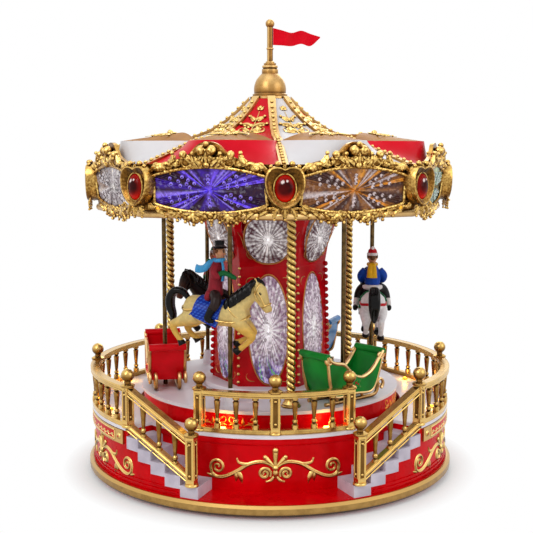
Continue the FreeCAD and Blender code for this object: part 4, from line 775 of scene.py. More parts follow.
# Each tier: levels, how far the lens sits above the middle of its facet, border, spokes, rings, depth,
# half size, rows of beads, dark and bright shade, whether it has painted glints, and the size of its gold
# line
LENS_TIERS = (
    (
        COLUMN_LEVELS[:2], -2.0, oval, 30, 26, 1.3, LOW_HALF, 13, (150, 116, 146), (255, 252, 255), True,
        1.03),
    (
        COLUMN_LEVELS[1:], -0.65, shield, 26, 18, 1.2, HIGH_HALF, 9, (74, 36, 46), (255, 252, 252), False,
        1.05))
lens_parts, line_work, bead_lines, red_lines = [], [], [], []
for side in range(6):
    middle = COLUMN_TURN + 60 * side
    tiers = []
    for levels, rise, border, spokes, rings, depth, half, beads, dark, bright, glints, grow in LENS_TIERS:
        lens = offset(on_plane(middle, *((height, radius * SIX_FLAT) for height, radius in levels)), rise)
        lens_parts.append((
            burst(lens, border, spokes, rings, depth, LENS_BACK), clear_lens,
            crystal_tint(lens, half, spokes, beads, dark, bright, glints)))
        rim = [border(2 * math.pi * k / 72) for k in range(73)]
        line_work.append(beading(lens, [(u * grow, v * grow) for u, v in rim], 1.1, 0.8))
        tiers.append(lens)
    low_lens, high_lens = tiers
    for way in (-1, 1):
        line_work += relief(
            high_lens, tendril, ((way * 10.6, -13.4), 90 - way * 62, 7.4, way * 2, way * 30, 0.8, 0.0, 6),
            ((way * 15.2, -6.0), 90 - way * 8, 12.0, -way, -way * 4, 0.7, 0.0, 6))
        line_work += relief(
            low_lens, tendril, ((way * 9.0, 33.5), 90 - way * 80, 9.0, -way * 5, -way * 28, 0.8, 0.0, 6),
            ((way * 9.0, -33.0), -90 + way * 80, 9.0, way * 5, way * 28, 0.8, 0.0, 6))
    corner_line = [out_at(middle + 30, radius, height) for height, radius in COLUMN_CORNER]
    (red_lines if side in (1, 4) else bead_lines).append(corner_line)
piece("column_lens_bursts", lens_parts, "base", "clear_lens", ("column_lenses",), crease=25)
line_gold = antique("line_gold", (80, 34, 14), (158, 92, 44), (214, 156, 90), 0.32)
piece("column_line_work", [(joined(line_work), line_gold)])


class Tree:
    """A geometry tree with named inputs, built socket by socket."""

    def __init__(self, name, *numbers):
        self.group = bpy.data.node_groups.new(name, "GeometryNodeTree")
        face = self.group.interface
        face.new_socket("Lines", in_out="INPUT", socket_type="NodeSocketGeometry")
        for label in numbers:
            face.new_socket(label, in_out="INPUT", socket_type="NodeSocketFloat")
        face.new_socket("Finish", in_out="INPUT", socket_type="NodeSocketMaterial")
        face.new_socket("Result", in_out="OUTPUT", socket_type="NodeSocketGeometry")
        self.given = self.group.nodes.new("NodeGroupInput").outputs

    def add(self, kind, sockets, settings=()):
        return wired(self.group, kind, settings, sockets, 0)

    def close(self, points, instance):
        """Set the instance on the points and end in realised, smooth geometry with the finish on it."""
        strewn = self.add("GeometryNodeInstanceOnPoints", {"Points": points, "Instance": instance})
        soft = self.add(
            "GeometryNodeSetShadeSmooth", {0: self.add("GeometryNodeRealizeInstances", {0: strewn})})
        coated = self.add("GeometryNodeSetMaterial", {"Geometry": soft, "Material": self.given["Finish"]})
        self.group.links.new(coated, self.group.nodes.new("NodeGroupOutput").inputs[0])
        return self.group


def grown(name, group, lines, values, body="base", slot="antique_gold", replaces=()):
    """Run a tree over lines in millimetres and keep the result as a plain mesh."""
    points, edges = [], []
    for line in lines:
        first = len(points)
        points += [point * MILLIMETRE for point in line]
        edges += [(first + i, first + i + 1) for i in range(len(line) - 1)]
    start = bpy.data.meshes.new(name)
    start.from_pydata(points, edges, [])
    made = link(name, start)
    modifier = made.modifiers.new("grow", "NODES")
    modifier.node_group = group
    for item in group.interface.items_tree:
        if item.in_out == "INPUT" and item.name in values:
            modifier[item.identifier] = values[item.name]
    graph = bpy.context.evaluated_depsgraph_get()
    mesh = bpy.data.meshes.new_from_object(made.evaluated_get(graph))
    made.modifiers.clear()
    made.data = mesh
    settle(made, body, slot, replaces)


bead_row = Tree("bead_row", "Bead radius", "Spacing")
strings = bead_row.add("GeometryNodeMeshToCurve", {0: bead_row.given["Lines"]})
spots = bead_row.add(
    "GeometryNodeResampleCurve", {"Curve": strings, "Length": bead_row.given["Spacing"]},
    {"mode": "LENGTH"})
bead = bead_row.add(
    "GeometryNodeMeshUVSphere", {"Segments": 10, "Rings": 6, "Radius": bead_row.given["Bead radius"]})
bead_tree = bead_row.close(spots, bead)
grown(
    "column_studs", bead_tree, bead_lines,
    {"Bead radius": 0.0010, "Spacing": 0.0050, "Finish": gold.material})
grown(
    "column_red_beads", bead_tree, red_lines,
    {"Bead radius": 0.0017, "Spacing": 0.0042, "Finish": column_red.material}, "base", "red_gloss")


# Twisted poles: three gold rods with a rope twist between the platform and the ceiling ring, each in a
# bell foot. The twist is cast as two strands side by side; the feet are turned.
POLE_TURN, POLE_CIRCLE, PLATFORM_TOP, POLE_TALL, TWIST_PITCH, HEAD_TALL = 8.1, 73.0, 53.7, 118.3, 7.5, 4.3
pole_spots = [out_at(POLE_TURN + 120 * k, POLE_CIRCLE, PLATFORM_TOP) for k in range(3)]
twist = Tree("rope_twist", "Strand radius", "Lay radius", "Turns", "Height")
lay = twist.given["Lay radius"]
strand = twist.add(
    "GeometryNodeCurveSpiral",
    {
        "Resolution": 20, "Rotations": twist.given["Turns"], "Start Radius": lay, "End Radius": lay,
        "Height": twist.given["Height"]})
section = twist.add(
    "GeometryNodeCurvePrimitiveCircle", {"Resolution": 8, "Radius": twist.given["Strand radius"]})
solid = twist.add(
    "GeometryNodeCurveToMesh", {"Curve": strand, "Profile Curve": section, "Fill Caps": True})
turned = twist.add("GeometryNodeTransform", {"Geometry": solid, "Rotation": (0.0, 0.0, math.pi)})
pair = twist.add("GeometryNodeJoinGeometry", {0: solid})
twist.group.links.new(turned, pair.node.inputs[0])
rope_tree = twist.close(twist.add("GeometryNodeMeshToPoints", {0: twist.given["Lines"]}), pair)
rope_gold = antique("rope_gold", (24, 14, 3), (122, 84, 32), (244, 208, 124), 0.2)
rope_sizes = {
    "Strand radius": 0.0016, "Lay radius": 0.0013, "Turns": POLE_TALL / TWIST_PITCH,
    "Height": POLE_TALL * MILLIMETRE}
grown(
    "rope_poles", rope_tree, [[spot] for spot in pole_spots], {**rope_sizes, "Finish": rope_gold.material},
    "turntable", "antique_gold", ("twisted_poles",))
pole_foot = lathe(
    (5.9, 0.0), (6.0, 0.8), (5.2, 1.4), (5.3, 2.0), (4.2, 3.4), (3.5, 5.4), (3.3, 7.0), (3.6, 7.4),
    (3.6, 8.2), (2.9, 8.6))
pole_head = lathe((2.9, 0.0), (3.6, 0.4), (3.6, 1.2), (3.2, 1.6), (4.6, 3.4), (4.8, HEAD_TALL))
turnings = [shifted(pole_foot, spot) for spot in pole_spots]
turnings += [shifted(pole_head, spot + Vector((0, 0, POLE_TALL - HEAD_TALL))) for spot in pole_spots]
piece("pole_turnings", [(joined(turnings), gold)], "turntable")
brass = moulded("brass_rod", (62, 48, 28), (112, 88, 52), 0.2, metallic=1.0, scale=300)
dress(brass, "sleigh_rods", "palomino_rod", "white_rod", "black_rod")


# Sleighs: three painted plastic seats on curled gold runners, one green, one blue, one red, with gold
# piping on the rim and a sprig in relief on each side. Each is pinned to the platform by its rod.
SLEIGH_BACK, SLEIGH_HALF, SLEIGH_WIDE, SLEIGH_FLOOR, SPRIG_LEVEL = 31.0, 23.5, 24.0, 6.0, 12.0
ITEM_CIRCLE, ITEM_TURN = 70.0, -21.9


def on_platform(angle, lift=0.0, twist=0.0):
    """From a piece drawn with its nose along X to its place on the platform."""
    return about(angle) @ Matrix.Translation((0.0, -ITEM_CIRCLE, PLATFORM_TOP + lift)) @ about(twist)


def sleigh_edge(side, rows):
    """A line along a sleigh's side; rows are shares of its half length and of its height."""
    return smooth_line([(SLEIGH_HALF * x, side, SLEIGH_BACK * z) for x, z in rows])


# The top edge has a shoulder behind the seat, is low at the step and goes up to the nose; the lower edge
# runs from the nose round the floor to the back
FLOOR_SHARE = SLEIGH_FLOOR / SLEIGH_BACK
RIM_ROWS = (
    (-1, 1), (-0.9, 0.91), (-0.72, 0.85), (-0.44, 0.8), (-0.22, 0.66), (0, 0.53), (0.28, 0.5),
    (0.62, 0.62), (1, 0.95))
FOOT_ROWS = (
    (1, 0.95), (0.86, 0.55), (0.6, FLOOR_SHARE), (0, FLOOR_SHARE), (-0.72, FLOOR_SHARE), (-0.9, 0.45),
    (-1, 1))


def sleigh_cheek(way):
    """A thin plate on a sleigh's side that carries the shoulder of its rim."""
    outer, inner, deep = way * (SLEIGH_WIDE / 2 - 0.1), way * (SLEIGH_WIDE / 2 - 1.6), 7.5
    shoulder = [point for point in sleigh_edge(0.0, RIM_ROWS) if point.x < SLEIGH_HALF * 0.2]
    return ringed([
        [
            Vector((point.x + 0.6, side, point.z - drop))
            for side, drop in ((outer, 0), (inner, 0), (inner, deep), (outer, deep))]
        for point in shoulder])


def sleigh_side(way):
    def place(across, up, out):
        return Vector((across, way * (SLEIGH_WIDE / 2 + out), SPRIG_LEVEL + up))
    return place


piping, sprig, berries, rolls = [], [], [], []
for way in (-1, 1):
    edge = way * (SLEIGH_WIDE / 2 - 0.7)
    piping += [tube(sleigh_edge(edge, RIM_ROWS), 1.2, 8), tube(sleigh_edge(edge, FOOT_ROWS), 1.0, 8)]
    for middle, size, first, last in (
            ((-SLEIGH_HALF + 1.4, SLEIGH_BACK - 2.4), 2.6, 160, 560),
            ((SLEIGH_HALF - 2.6, 9.4), 3.6, -70, 330),
            ((SLEIGH_HALF - 2.2, SLEIGH_BACK - 4.0), 2.6, 20, -380)):
        curl = [Vector((x, edge, z)) for x, z in spiral(middle, size, 0.7, first, last, 24)]
        piping.append(tube(curl, [1.1 - 0.02 * k for k in range(25)], 8))
    rolls.append(sleigh_cheek(way))
    at = sleigh_side(way)
    for heading, length in ((25, 7.0), (70, 6.0), (150, 7.0), (205, 6.5), (-35, 6.0)):
        sprig.append(leaf(at, (-1.0, 0.0), heading, length, 3.4, 2))
    sprig.append(tendril(at, (-9.0, -3.4), 30, 18, 1, -2, 0.9, sides=6))
    berries += relief(at, boss, (-0.6, 0.8, 1.0, 1.0), (1.0, -0.4, 1.0, 1.0), (-1.6, -1.0, 0.9, 1.0))
for x, z in ((-SLEIGH_HALF, SLEIGH_BACK - 0.4), (SLEIGH_HALF, SLEIGH_BACK * 0.95 - 0.6)):
    rolls.append(tube([Vector((x, SLEIGH_WIDE * (k / 8 - 0.5) * 0.98, z)) for k in range(9)], 2.3, 14))
piping_gold = antique("piping_gold", (110, 70, 32), (184, 136, 78), (246, 210, 150), 0.32)
berry_red = moulded("berry_red", (150, 0, 10), (200, 8, 22), 0.3)
for k, (node, dark, light) in enumerate((
    ("green_sleigh", (8, 112, 36), (26, 152, 56)), ("blue_sleigh", (40, 112, 186), (84, 156, 216)),
    ("red_sleigh", (208, 2, 14), (236, 10, 28)))):
    at = on_platform(ITEM_TURN + 60 * (2 * k + 1))
    paint = moulded(node + "_paint", dark, light, 0.3, coat=0.06, scale=70, gleam=0.12)
    dress(paint, node)
    trim = ((piping, piping_gold), (sprig + rolls, paint), (berries, berry_red))
    piece(node + "_piping", [(moved(joined(shells), at), finish) for shells, finish in trim], "turntable")
dress(piping_gold, "sleigh_runners")


# Horses: three cast resin jumpers, each on its own brass rod, hand painted. Mane, tail, saddle cloth,
# straps and hooves are modelled with the body and picked out by brush.
def carved(voxel, passes, *limbs):
    """Swelling limbs run together into one smooth skin; each is a row of x, y, z and radius."""
    shells = []
    for beads in limbs:
        line = smooth_line([bead[:3] for bead in beads], 5)
        radii = [value.x for value in smooth_line([(bead[3], 0, 0) for bead in beads], 5)]
        shells.append(tube(line, [max(0.15, radius) for radius in radii], 12))
    points, faces = joined(shells)
    mesh = bpy.data.meshes.new("carving")
    mesh.from_pydata(points, [], faces)
    work = link("carving", mesh)
    remesh = work.modifiers.new("skin", "REMESH")
    remesh.mode = "VOXEL"
    remesh.voxel_size = voxel
    soften = work.modifiers.new("soften", "SMOOTH")
    soften.factor = 0.5
    soften.iterations = passes
    result = bpy.data.meshes.new_from_object(work.evaluated_get(bpy.context.evaluated_depsgraph_get()))
    bpy.data.objects.remove(work)
    skin = [vertex.co.copy() for vertex in result.vertices]
    return skin, [list(face.vertices) for face in result.polygons]


def mirrored(*limbs):
    """Limbs on both sides, from those on the left."""
    return [[(x, way * y, z, radius) for x, y, z, radius in beads] for beads in limbs for way in (-1, 1)]


def drawn(side, *rows):
    """A limb in one upright plane, from rows of x, z and radius."""
    return [(x, side, z, radius) for x, z, radius in rows]


BARREL = [
    (-30.5, 7.5, 2.4), (-28, 7.4, 6.2), (-24, 7.6, 8.2), (-19, 7.0, 8.6), (-12, 5.9, 7.9), (-5, 5.4, 7.9),
    (2, 5.8, 8.3), (8, 6.2, 7.0), (11.5, 6.6, 4.2)]
HOOVES = [
    Vector(spot)
    for spot in ((5.4, -4.5, -17.0), (1.2, 4.5, -14.2), (-29.4, -4.7, -14.6), (-22.6, 4.7, -13.8))]
neck = [(2, 8, 6.6), (8, 13, 5.8), (13, 18, 4.8), (17, 21.5, 3.8)]
skull = [
    (15.8, 23.6, 2.6), (18.6, 21.8, 4.0), (20.6, 17.4, 3.7), (22.8, 12.4, 2.7), (24.4, 9.0, 2.6),
    (25.0, 7.6, 1.7)]
jaw = [(16.8, 17.4, 3.0), (19.6, 13.8, 2.3), (22.4, 9.6, 1.7)]
legs = [
    [(5, -4, 2.5, 4.6), (10.5, -4.4, -2.2, 3.7)] + drawn(
        -4.5, (14.6, -5.2, 2.7), (16, -6.8, 2.3), (14.4, -9.4, 1.9), (11, -12.4, 1.7), (8, -14.8, 1.9),
        (6.2, -16.0, 2.5), (5.0, -17.0, 2.6)),
    [(5, 4, 2, 4.4), (10, 4.4, -2, 3.4)] + drawn(
        4.5, (13.2, -5, 2.4), (13.2, -6.4, 2.1), (10, -8.8, 1.7), (6, -11.2, 1.6), (3, -12.9, 2.3),
        (1.2, -14.0, 2.6)),
    [(-21, -4, 4.5, 5.6), (-27, -4.5, 1.5, 4.6)] + drawn(
        -4.7, (-32, -0.6, 3.2), (-35.8, -1.8, 2.3), (-35.8, -3.6, 2.1), (-34, -7.4, 1.8),
        (-31.6, -10.8, 1.7), (-30.2, -12.8, 2.3), (-29.4, -14.6, 2.6)),
    [(-20, 4, 3.5, 5.4), (-25, 4.6, -0.6, 4.0)] + drawn(
        4.7, (-29, -3.4, 2.8), (-30.4, -4.8, 2.2), (-29.4, -7.2, 1.8), (-26.4, -10.2, 1.7),
        (-24, -12.0, 2.3), (-22.8, -13.6, 2.6))]
ears = mirrored([(17.8, 2.0, 23.6, 1.5), (17.4, 2.6, 26.0, 1.2), (17.0, 2.9, 28.4, 0.4)])
horse_skin = carved(0.55, 4, *[drawn(0, *rows) for rows in (BARREL, neck, skull, jaw)], *legs, *ears)
LOCK = [
    (1.4, 0.6, 1.6, 1.7), (-0.2, 3.4, 0.4, 2.0), (-1.8, 5.4, -2.6, 1.9), (-1.6, 6.2, -5.4, 1.4),
    (-3.0, 6.4, -7.6, 0.4)]
FORELOCK = [
    (0.0, 13.4, 1.2), (6.0, 18.0, 1.5), (12.0, 22.4, 1.6), (16.4, 25.4, 1.8), (20.4, 25.2, 1.4),
    (22.4, 21.8, 0.5)]
locks = [
    [(1.6 + 2.9 * k + x, y, 14.6 + 2.05 * k + z, radius) for x, y, z, radius in LOCK] for k in range(6)]
mane = carved(0.42, 1, *mirrored(*locks), drawn(0, *FORELOCK))
TAIL = [
    (-26.5, 0, 12.5, 1.6), (-30.5, 0.5, 17.0, 2.0), (-35.5, 1.2, 18.2, 2.2), (-39.0, 1.5, 14.6, 2.4),
    (-39.6, 1.5, 8.6, 2.4), (-37.8, 1.0, 2.8, 2.0), (-38.2, 0.5, -1.0, 1.3), (-40.2, 0, -2.4, 0.4)]
tail = carved(0.5, 1, *[[(x, way * y, z, radius) for x, y, z, radius in TAIL] for way in (-1, 0, 1)])


def barrel_at(x):
    """Height of the barrel's middle and its radius along the horse."""
    for (x0, z0, r0), (x1, z1, r1) in zip(BARREL, BARREL[1:]):
        if x <= x1:
            part = max(0.0, (x - x0) / (x1 - x0))
            return z0 + (z1 - z0) * part, r0 + (r1 - r0) * part
    return BARREL[-1][1:]


CLOTH_BACK, CLOTH_FRONT, CLOTH_RAKE, CLOTH_HANG, CLOTH_RISE = -17.5, -0.5, 5.6, 0.62, 0.9
CLOTH_ROWS, CLOTH_COLUMNS = 44, 88


def saddle_cloth():
    """A cloth over the back, raked to the rear, that follows the barrel to its widest and then hangs."""
    rings = []
    for row in range(CLOTH_ROWS + 1):
        share = row / CLOTH_ROWS
        top_x = CLOTH_BACK + (CLOTH_FRONT - CLOTH_BACK) * share
        drop = 2.4 + 5.2 * share
        lines = ([], [])
        for column in range(CLOTH_COLUMNS + 1):
            side = 2 * column / CLOTH_COLUMNS - 1
            x = top_x - CLOTH_RAKE * abs(side)
            middle, radius = barrel_at(x)
            turn = min(1.0, abs(side) / CLOTH_HANG) * math.pi / 2
            fall = max(0.0, abs(side) - CLOTH_HANG) / (1 - CLOTH_HANG) * drop
            weave = 0.16 * math.sin(column * 2.1 + row) * math.sin(row * 2.4)
            for line, lift in zip(lines, (CLOTH_RISE + weave, -0.4)):
                reach = radius + lift
                line.append(
                    Vector((
                        x, math.copysign(reach * math.sin(turn), side),
                        middle + reach * math.cos(turn) - fall)))
        rings.append(lines[0] + lines[1][::-1])
    return ringed(rings)


cloth_shell = saddle_cloth()


def straps(*rows):
    """Straps on both sides, each a row of points on the left and a width."""
    return [
        tube(smooth_line([(x, way * y, z) for x, y, z in points], 6), width, 6, (1.0, 0.7))
        for points, width in rows for way in (-1, 1)]


def ring_strap(middle, normal, radius):
    """A strap round a limb."""
    normal = Vector(normal).normalized()
    side = Vector((0, 1, 0))
    other = normal.cross(side).normalized()
    turns = circle(20)
    path = [Vector(middle) + (side * x + other * y) * radius for x, y in turns + turns[:1]]
    return tube(path, 0.55, 6)


bridle = joined(
    [ring_strap((23.2, 0, 11.6), (0.45, 0, -0.9), 3.0), ring_strap((18.4, 0, 21.0), (0.9, 0, -0.35), 4.2)]
    + straps(
        ([(18.8, 4.1, 20.0), (21.2, 3.6, 16.0), (23.2, 3.0, 11.8)], 0.5),
        ([(16.6, 3.4, 22.0), (17.6, 4.2, 17.4), (20.0, 2.9, 13.0)], 0.45)))
harness = straps(
    ([(13.0, 0, 5.0), (10.6, 5.6, 3.0), (5.0, 8.4, 1.6), (-2.0, 8.6, 1.8), (-6.0, 8.6, 2.4)], 0.6),
    ([(1.0, 6.4, 11.2), (3.6, 7.8, 7.6), (7.0, 7.2, 4.2)], 0.5))
crupper = joined(straps(([(-19.0, 8.6, 8.6), (-25.0, 8.0, 7.6), (-29.0, 5.0, 8.0), (-31.2, 0, 8.4)], 0.9)))
stud = lathe((0, -0.7), (0.65, -0.3), (0.65, 0.3), (0, 0.7), sides=8)
for way in (-1, 1):
    for x, y, z in ((9.0, 6.6, 2.6), (6.0, 8.0, 1.8), (3.0, 8.7, 1.6), (0.0, 8.9, 1.7)):
        harness.append(shifted(stud, (x, way * y, z)))
harness = joined(harness)
saddle = carved(
    0.5, 2,
    drawn(0, (-15.6, 16.6, 1.2), (-13.6, 14.8, 2.6), (-9, 13.4, 2.8), (-5, 13.4, 2.4), (-3.2, 14.6, 1.3)))


def brushed(name, roughness=0.32, coat=0.06):
    """Hand-painted resin: the tint is the paint, with brush marks and a thin lacquer."""
    finish = Finish(name, Coat_Weight=coat, Coat_Roughness=0.12, Specular_IOR_Level=0.12)
    tint = finish.tint()
    cloud = finish.speckle(420)
    dark = finish.mixed(0.14, tint, (0.02, 0.012, 0.008, 1.0))
    finish.feed(
        Base_Color=finish.mixed(finish.ramp(cloud, (0.42, NONE), (0.62, FULL)), dark, tint),
        Roughness=cloud * 0.15 + (roughness - 0.07))
    return finish.dented(finish.speckle(1800), 0.03)


resin = brushed("painted_resin")
glossy_hair = brushed("lacquered_hair", 0.16, 0.1)


def near(point, spot, reach):
    return (Vector(spot) - point).length < reach


def coat_tint(coat, belly, muzzle, hoof):
    """Horse colour: shaded below, dark muzzle and eyes, painted hooves."""
    def tint(point):
        if point.z < -11.4 and any(near(point, foot, 4.3) for foot in HOOVES):
            return hoof
        if any(near(point, (20.4, way * 3.6, 18.8), 0.9) for way in (-1, 1)):
            return shade(20, 14, 12)
        if near(point, (25.4, 0, 7.6), 2.6):
            return muzzle
        face = 0.6 * clamp((point.x - 18.0) / 5) * clamp((22.0 - point.z) / 8)
        part = 0.8 * clamp((2.5 - point.z) / 6)
        return tuple(a + (b - a) * part + (c - a) * face for a, b, c in zip(coat, belly, muzzle))
    return tint


def cloth_tint(field, light):
    """Knitted cloth: short pale strokes over the field."""
    def tint(point):
        knit = math.sin(point.x * 1.7 + point.z * 0.8) * math.sin(point.z * 3.0 - point.x * 0.5)
        return light if knit > 0.3 else field
    return tint


def hair_tint(hair):
    """Locks of hair with a few strands painted lighter as a painted sheen."""
    def tint(point):
        # Painted sheen: thin lighter bands stand for glossy highlights on the hair
        strand = math.sin(point.y * 4.4) * (0.7 + 0.3 * math.sin(point.x * 0.45 + point.z * 0.35))
        return tuple(value + 0.05 for value in hair[:3]) + (1.0,) if strand > 0.8 else hair
    return tint


def plain(paint):
    def tint(_):
        return paint
    return tint


def painted(matrix, *rows):
    """Shells drawn about their rod, each with a paint or a tint and perhaps a finish, set in place."""
    back = matrix.inverted()
    parts = []
    for shell, paint, *finish in rows:
        brush = paint if callable(paint) else plain(shade(*paint))

        def tint(point, brush=brush):
            return brush(back @ point)

        parts.append((moved(shell, matrix), finish[0] if finish else resin, tint))
    return parts


BLACK, GOLD_PAINT = (6, 5, 6), (206, 160, 72)
# Each horse: body, place, then the paints of coat, belly, muzzle, hooves, hair, cloth and the cloth's knit
HORSES = {
    "palomino": (
        "palomino", on_platform(ITEM_TURN, 50.0), (234, 206, 134), (230, 178, 68), (218, 184, 112), BLACK,
        BLACK, (16, 54, 172), (66, 116, 222)),
    "white": (
        "white_horse_body", on_platform(ITEM_TURN + 120, 45.5, -13.0), (250, 246, 246), (230, 222, 224),
        (216, 200, 196), BLACK, BLACK, (24, 92, 56), (48, 130, 84)),
    "black": (
        "black_horse_body", on_platform(ITEM_TURN + 240, 42.0), (24, 14, 13), (12, 8, 8), (112, 66, 48),
        (30, 24, 22), (10, 8, 8), (176, 12, 24), (214, 60, 60))}
horse_gold = antique("harness_gold", (96, 64, 24), (166, 126, 62), (222, 186, 112))
for kind, (body, at, *paints) in HORSES.items():
    coat, belly, muzzle, hoof, hair, cloth, knit = (shade(*paint) for paint in paints)
    parts = painted(
        at, (horse_skin, coat_tint(coat, belly, muzzle, hoof)), (mane, hair_tint(hair), glossy_hair),
        (tail, hair_tint(hair), glossy_hair), (cloth_shell, cloth_tint(cloth, knit)),
        (saddle, (70, 38, 24)), (harness, GOLD_PAINT, horse_gold),
        (bridle, GOLD_PAINT, horse_gold) if kind == "palomino" else (bridle, (40, 26, 20)),
        (crupper, (196, 12, 26)) if kind == "white" else (crupper, GOLD_PAINT, horse_gold))
    piece(f"{kind}_figure", parts, body, f"{kind}_paint", (f"{kind}_horse",), crease=60)


# Riders: three cast figures in winter dress, one in a tall hat and long coat with a flying scarf, two in
# short jackets with caps. Each is cast apart from its horse and glued into the saddle.
def ball(middle, radius, stretch=(1.0, 1.0, 1.0)):
    return ringed([
        [
            Vector(middle) + Vector(radius * size * way for size, way in zip(stretch, point))
            for point in ring]
        for ring in globe(9, 14)])


HEAD_X, CAP_X = -6.6, -6.8
head = carved(
    0.35, 3,
    drawn(
        0, (-6.6, 37.6, 1.7), (-6.5, 39.2, 2.2), (-6.3, 41.2, 3.0), (-6.4, 43.4, 3.1), (-6.6, 45.2, 2.2)),
    drawn(0, (-3.8, 42.2, 0.5), (-3.2, 41.4, 0.7), (-2.9, 41.0, 0.5)),
    drawn(0, (-4.2, 39.4, 0.9), (-4.0, 39.1, 0.7)),
    *mirrored([(-6.6, 2.8, 41.8, 0.7), (-6.8, 3.2, 41.2, 0.6)]))
hair = carved(
    0.4, 2, drawn(0, (-8.0, 44.6, 2.0), (-9.0, 42.6, 2.1), (-9.0, 40.4, 1.5)),
    *mirrored([(-7.2, 2.4, 44.0, 1.3), (-7.8, 2.8, 41.8, 1.0)]))
# Eyes, brows, cheeks and mouth: place, reach and paint
FACE_MARKS = [
    ((-3.6, 1.2, 42.6), 0.55, (40, 26, 20)), ((-3.8, 1.25, 43.5), 0.5, (90, 60, 40)),
    ((-3.9, 1.8, 41.0), 0.9, (214, 132, 104)), ((-3.5, 0, 40.1), 0.75, (170, 76, 66))]


def face_tint(point):
    for (x, y, z), reach, paint in FACE_MARKS:
        if near(point, (x, y, z), reach) or near(point, (x, -y, z), reach):
            return shade(*paint)
    return shade(214, 150, 108)


long_coat = carved(
    0.4, 3,
    drawn(
        0, (-9.8, 16.4, 5.2), (-9.6, 19, 4.9), (-9.4, 22, 4.4), (-9.0, 27, 4.3), (-8.4, 32, 4.6),
        (-7.8, 35.4, 3.6), (-7.0, 37.4, 2.2)),
    [(-8.0, -3.8, 34.4, 2.2), (-8.0, -6.0, 30.8, 2.2), (-6.8, -6.2, 28.4, 2.1), (-4.6, -5.2, 28.8, 1.9)],
    [(-8.6, 3.8, 34.0, 2.2), (-11.4, 5.6, 32.4, 2.0), (-13.6, 5.4, 34.0, 1.8), (-15.0, 5.2, 35.2, 1.6)],
    *mirrored([(-11.2, 3.4, 18.0, 3.0), (-12.4, 5.0, 15.2, 2.4), (-13.0, 5.8, 13.6, 1.2)]))
mittens = carved(
    0.35, 2,
    [
        (-5.0, -5.2, 29.4, 1.8), (-2.6, -4.0, 30.4, 1.7), (0.6, -3.6, 29.6, 1.5), (3.4, -3.2, 28.2, 1.5),
        (5.4, -2.8, 27.2, 1.0)],
    [(-15.2, 5.2, 35.4, 1.7), (-16.4, 5.0, 36.4, 1.6), (-17.0, 4.8, 36.8, 0.9)])
trousers = carved(
    0.4, 2,
    *mirrored(
        [(-9, 3.0, 16.8, 3.8), (-6.4, 6.6, 15.4, 3.5), (-6.0, 8.7, 12.2, 3.1), (-7.8, 9.7, 8.8, 2.7)]))
boots = carved(
    0.35, 2,
    *mirrored([
        (-7.6, 9.8, 9.4, 2.7), (-9.4, 10.0, 6.0, 2.4), (-10.6, 10.1, 3.6, 2.1), (-8.8, 10.3, 2.4, 1.8),
        (-6.4, 10.4, 2.0, 1.1)]))
collar = carved(
    0.4, 2,
    [
        (-6.7 + 2.5 * math.cos(0.7 * k), 2.7 * math.sin(0.7 * k), 37.6 + 0.3 * math.cos(0.7 * k), 1.25)
        for k in range(10)])


def ribbon(points, start, growth, squash):
    """A loose end of cloth that widens along a line."""
    line = smooth_line(points, 6)
    return tube(line, [start + growth * k for k in range(len(line))], 8, squash)


scarf_ends = joined([
    ribbon(
        [
            (-8.4, 1.0, 37.8), (-11.6, -2.2, 36.2), (-14.8, -3.8, 33.0), (-18.0, -4.0, 32.2),
            (-20.4, -3.8, 32.6)],
        1.2, 0.04, (1.25, 0.6)),
    ribbon(
        [(-4.6, -1.2, 37.4), (-3.4, -2.4, 34.4), (-3.0, -2.8, 30.0), (-3.6, -2.8, 25.4)], 1.0, 0.02,
        (0.5, 1.3))])
tall_hat = shifted(
    lathe(
        (0, 44.6), (4.2, 44.8), (4.5, 45.3), (4.0, 45.8), (2.9, 45.9), (2.8, 47.2), (3.0, 48.8),
        (3.1, 49.3), (2.6, 49.5), (0, 49.5)),
    (HEAD_X, 0, 0))
hat_band = shifted(lathe((2.7, 45.8), (3.05, 45.9), (3.0, 46.9), (2.7, 47.0)), (HEAD_X, 0, 0))
jacket = carved(
    0.4, 3,
    drawn(
        0, (-8.6, 17.6, 5.0), (-8.4, 21, 5.4), (-8.2, 25, 5.2), (-7.8, 28.4, 4.6), (-7.2, 31, 3.2),
        (-6.8, 32.6, 2.0)),
    *mirrored(
        [(-8.0, 4.6, 28.4, 2.6), (-7.4, 7.4, 25.0, 2.6), (-4.6, 7.2, 21.8, 2.3), (-2.2, 5.2, 20.4, 2.0)]))
jacket_mittens = carved(
    0.35, 2, *mirrored([(-2.6, 5.4, 20.6, 2.0), (-1.4, 4.2, 20.0, 1.8), (-0.8, 3.2, 19.6, 1.2)]))
hem = carved(
    0.45, 1, [(-8.6 + 5.2 * math.cos(0.45 * k), 5.4 * math.sin(0.45 * k), 17.2, 1.7) for k in range(15)])
stockings = carved(
    0.4, 2, *mirrored([(-7.0, 9.8, 9.6, 2.3), (-8.6, 10.6, 6.4, 2.0), (-9.4, 11.0, 4.6, 1.8)]))
shoes = carved(
    0.35, 2, *mirrored([(-9.6, 11.0, 4.4, 1.9), (-9.4, 11.2, 2.8, 1.8), (-7.4, 11.2, 2.2, 1.3)]))
cap_crown = ball((-7.0, 0, 40.4), 3.1, (1.0, 1.0, 0.85))
cap_top = ball((-8.4, 0, 42.4), 1.8, (1.2, 1.0, 1.0))
cap_trim = shifted(lathe((2.6, 37.8), (3.6, 38.2), (3.8, 39.0), (3.4, 39.8), (2.6, 40.0)), (CAP_X, 0, 0))
cap_ball = ball((-9.8, 0, 43.2), 1.2)
shawl_ends = joined([
    ribbon(
        [
            (-9.0, way * 1.0, 33.0), (-12.4, way * 1.4, 31.6), (-13.6, way * 1.8, 28.0),
            (-13.8, way * 2.0, 23.6)],
        0.9, 0.03, (0.6, 1.5))
    for way in (-0.4, 1.0)])
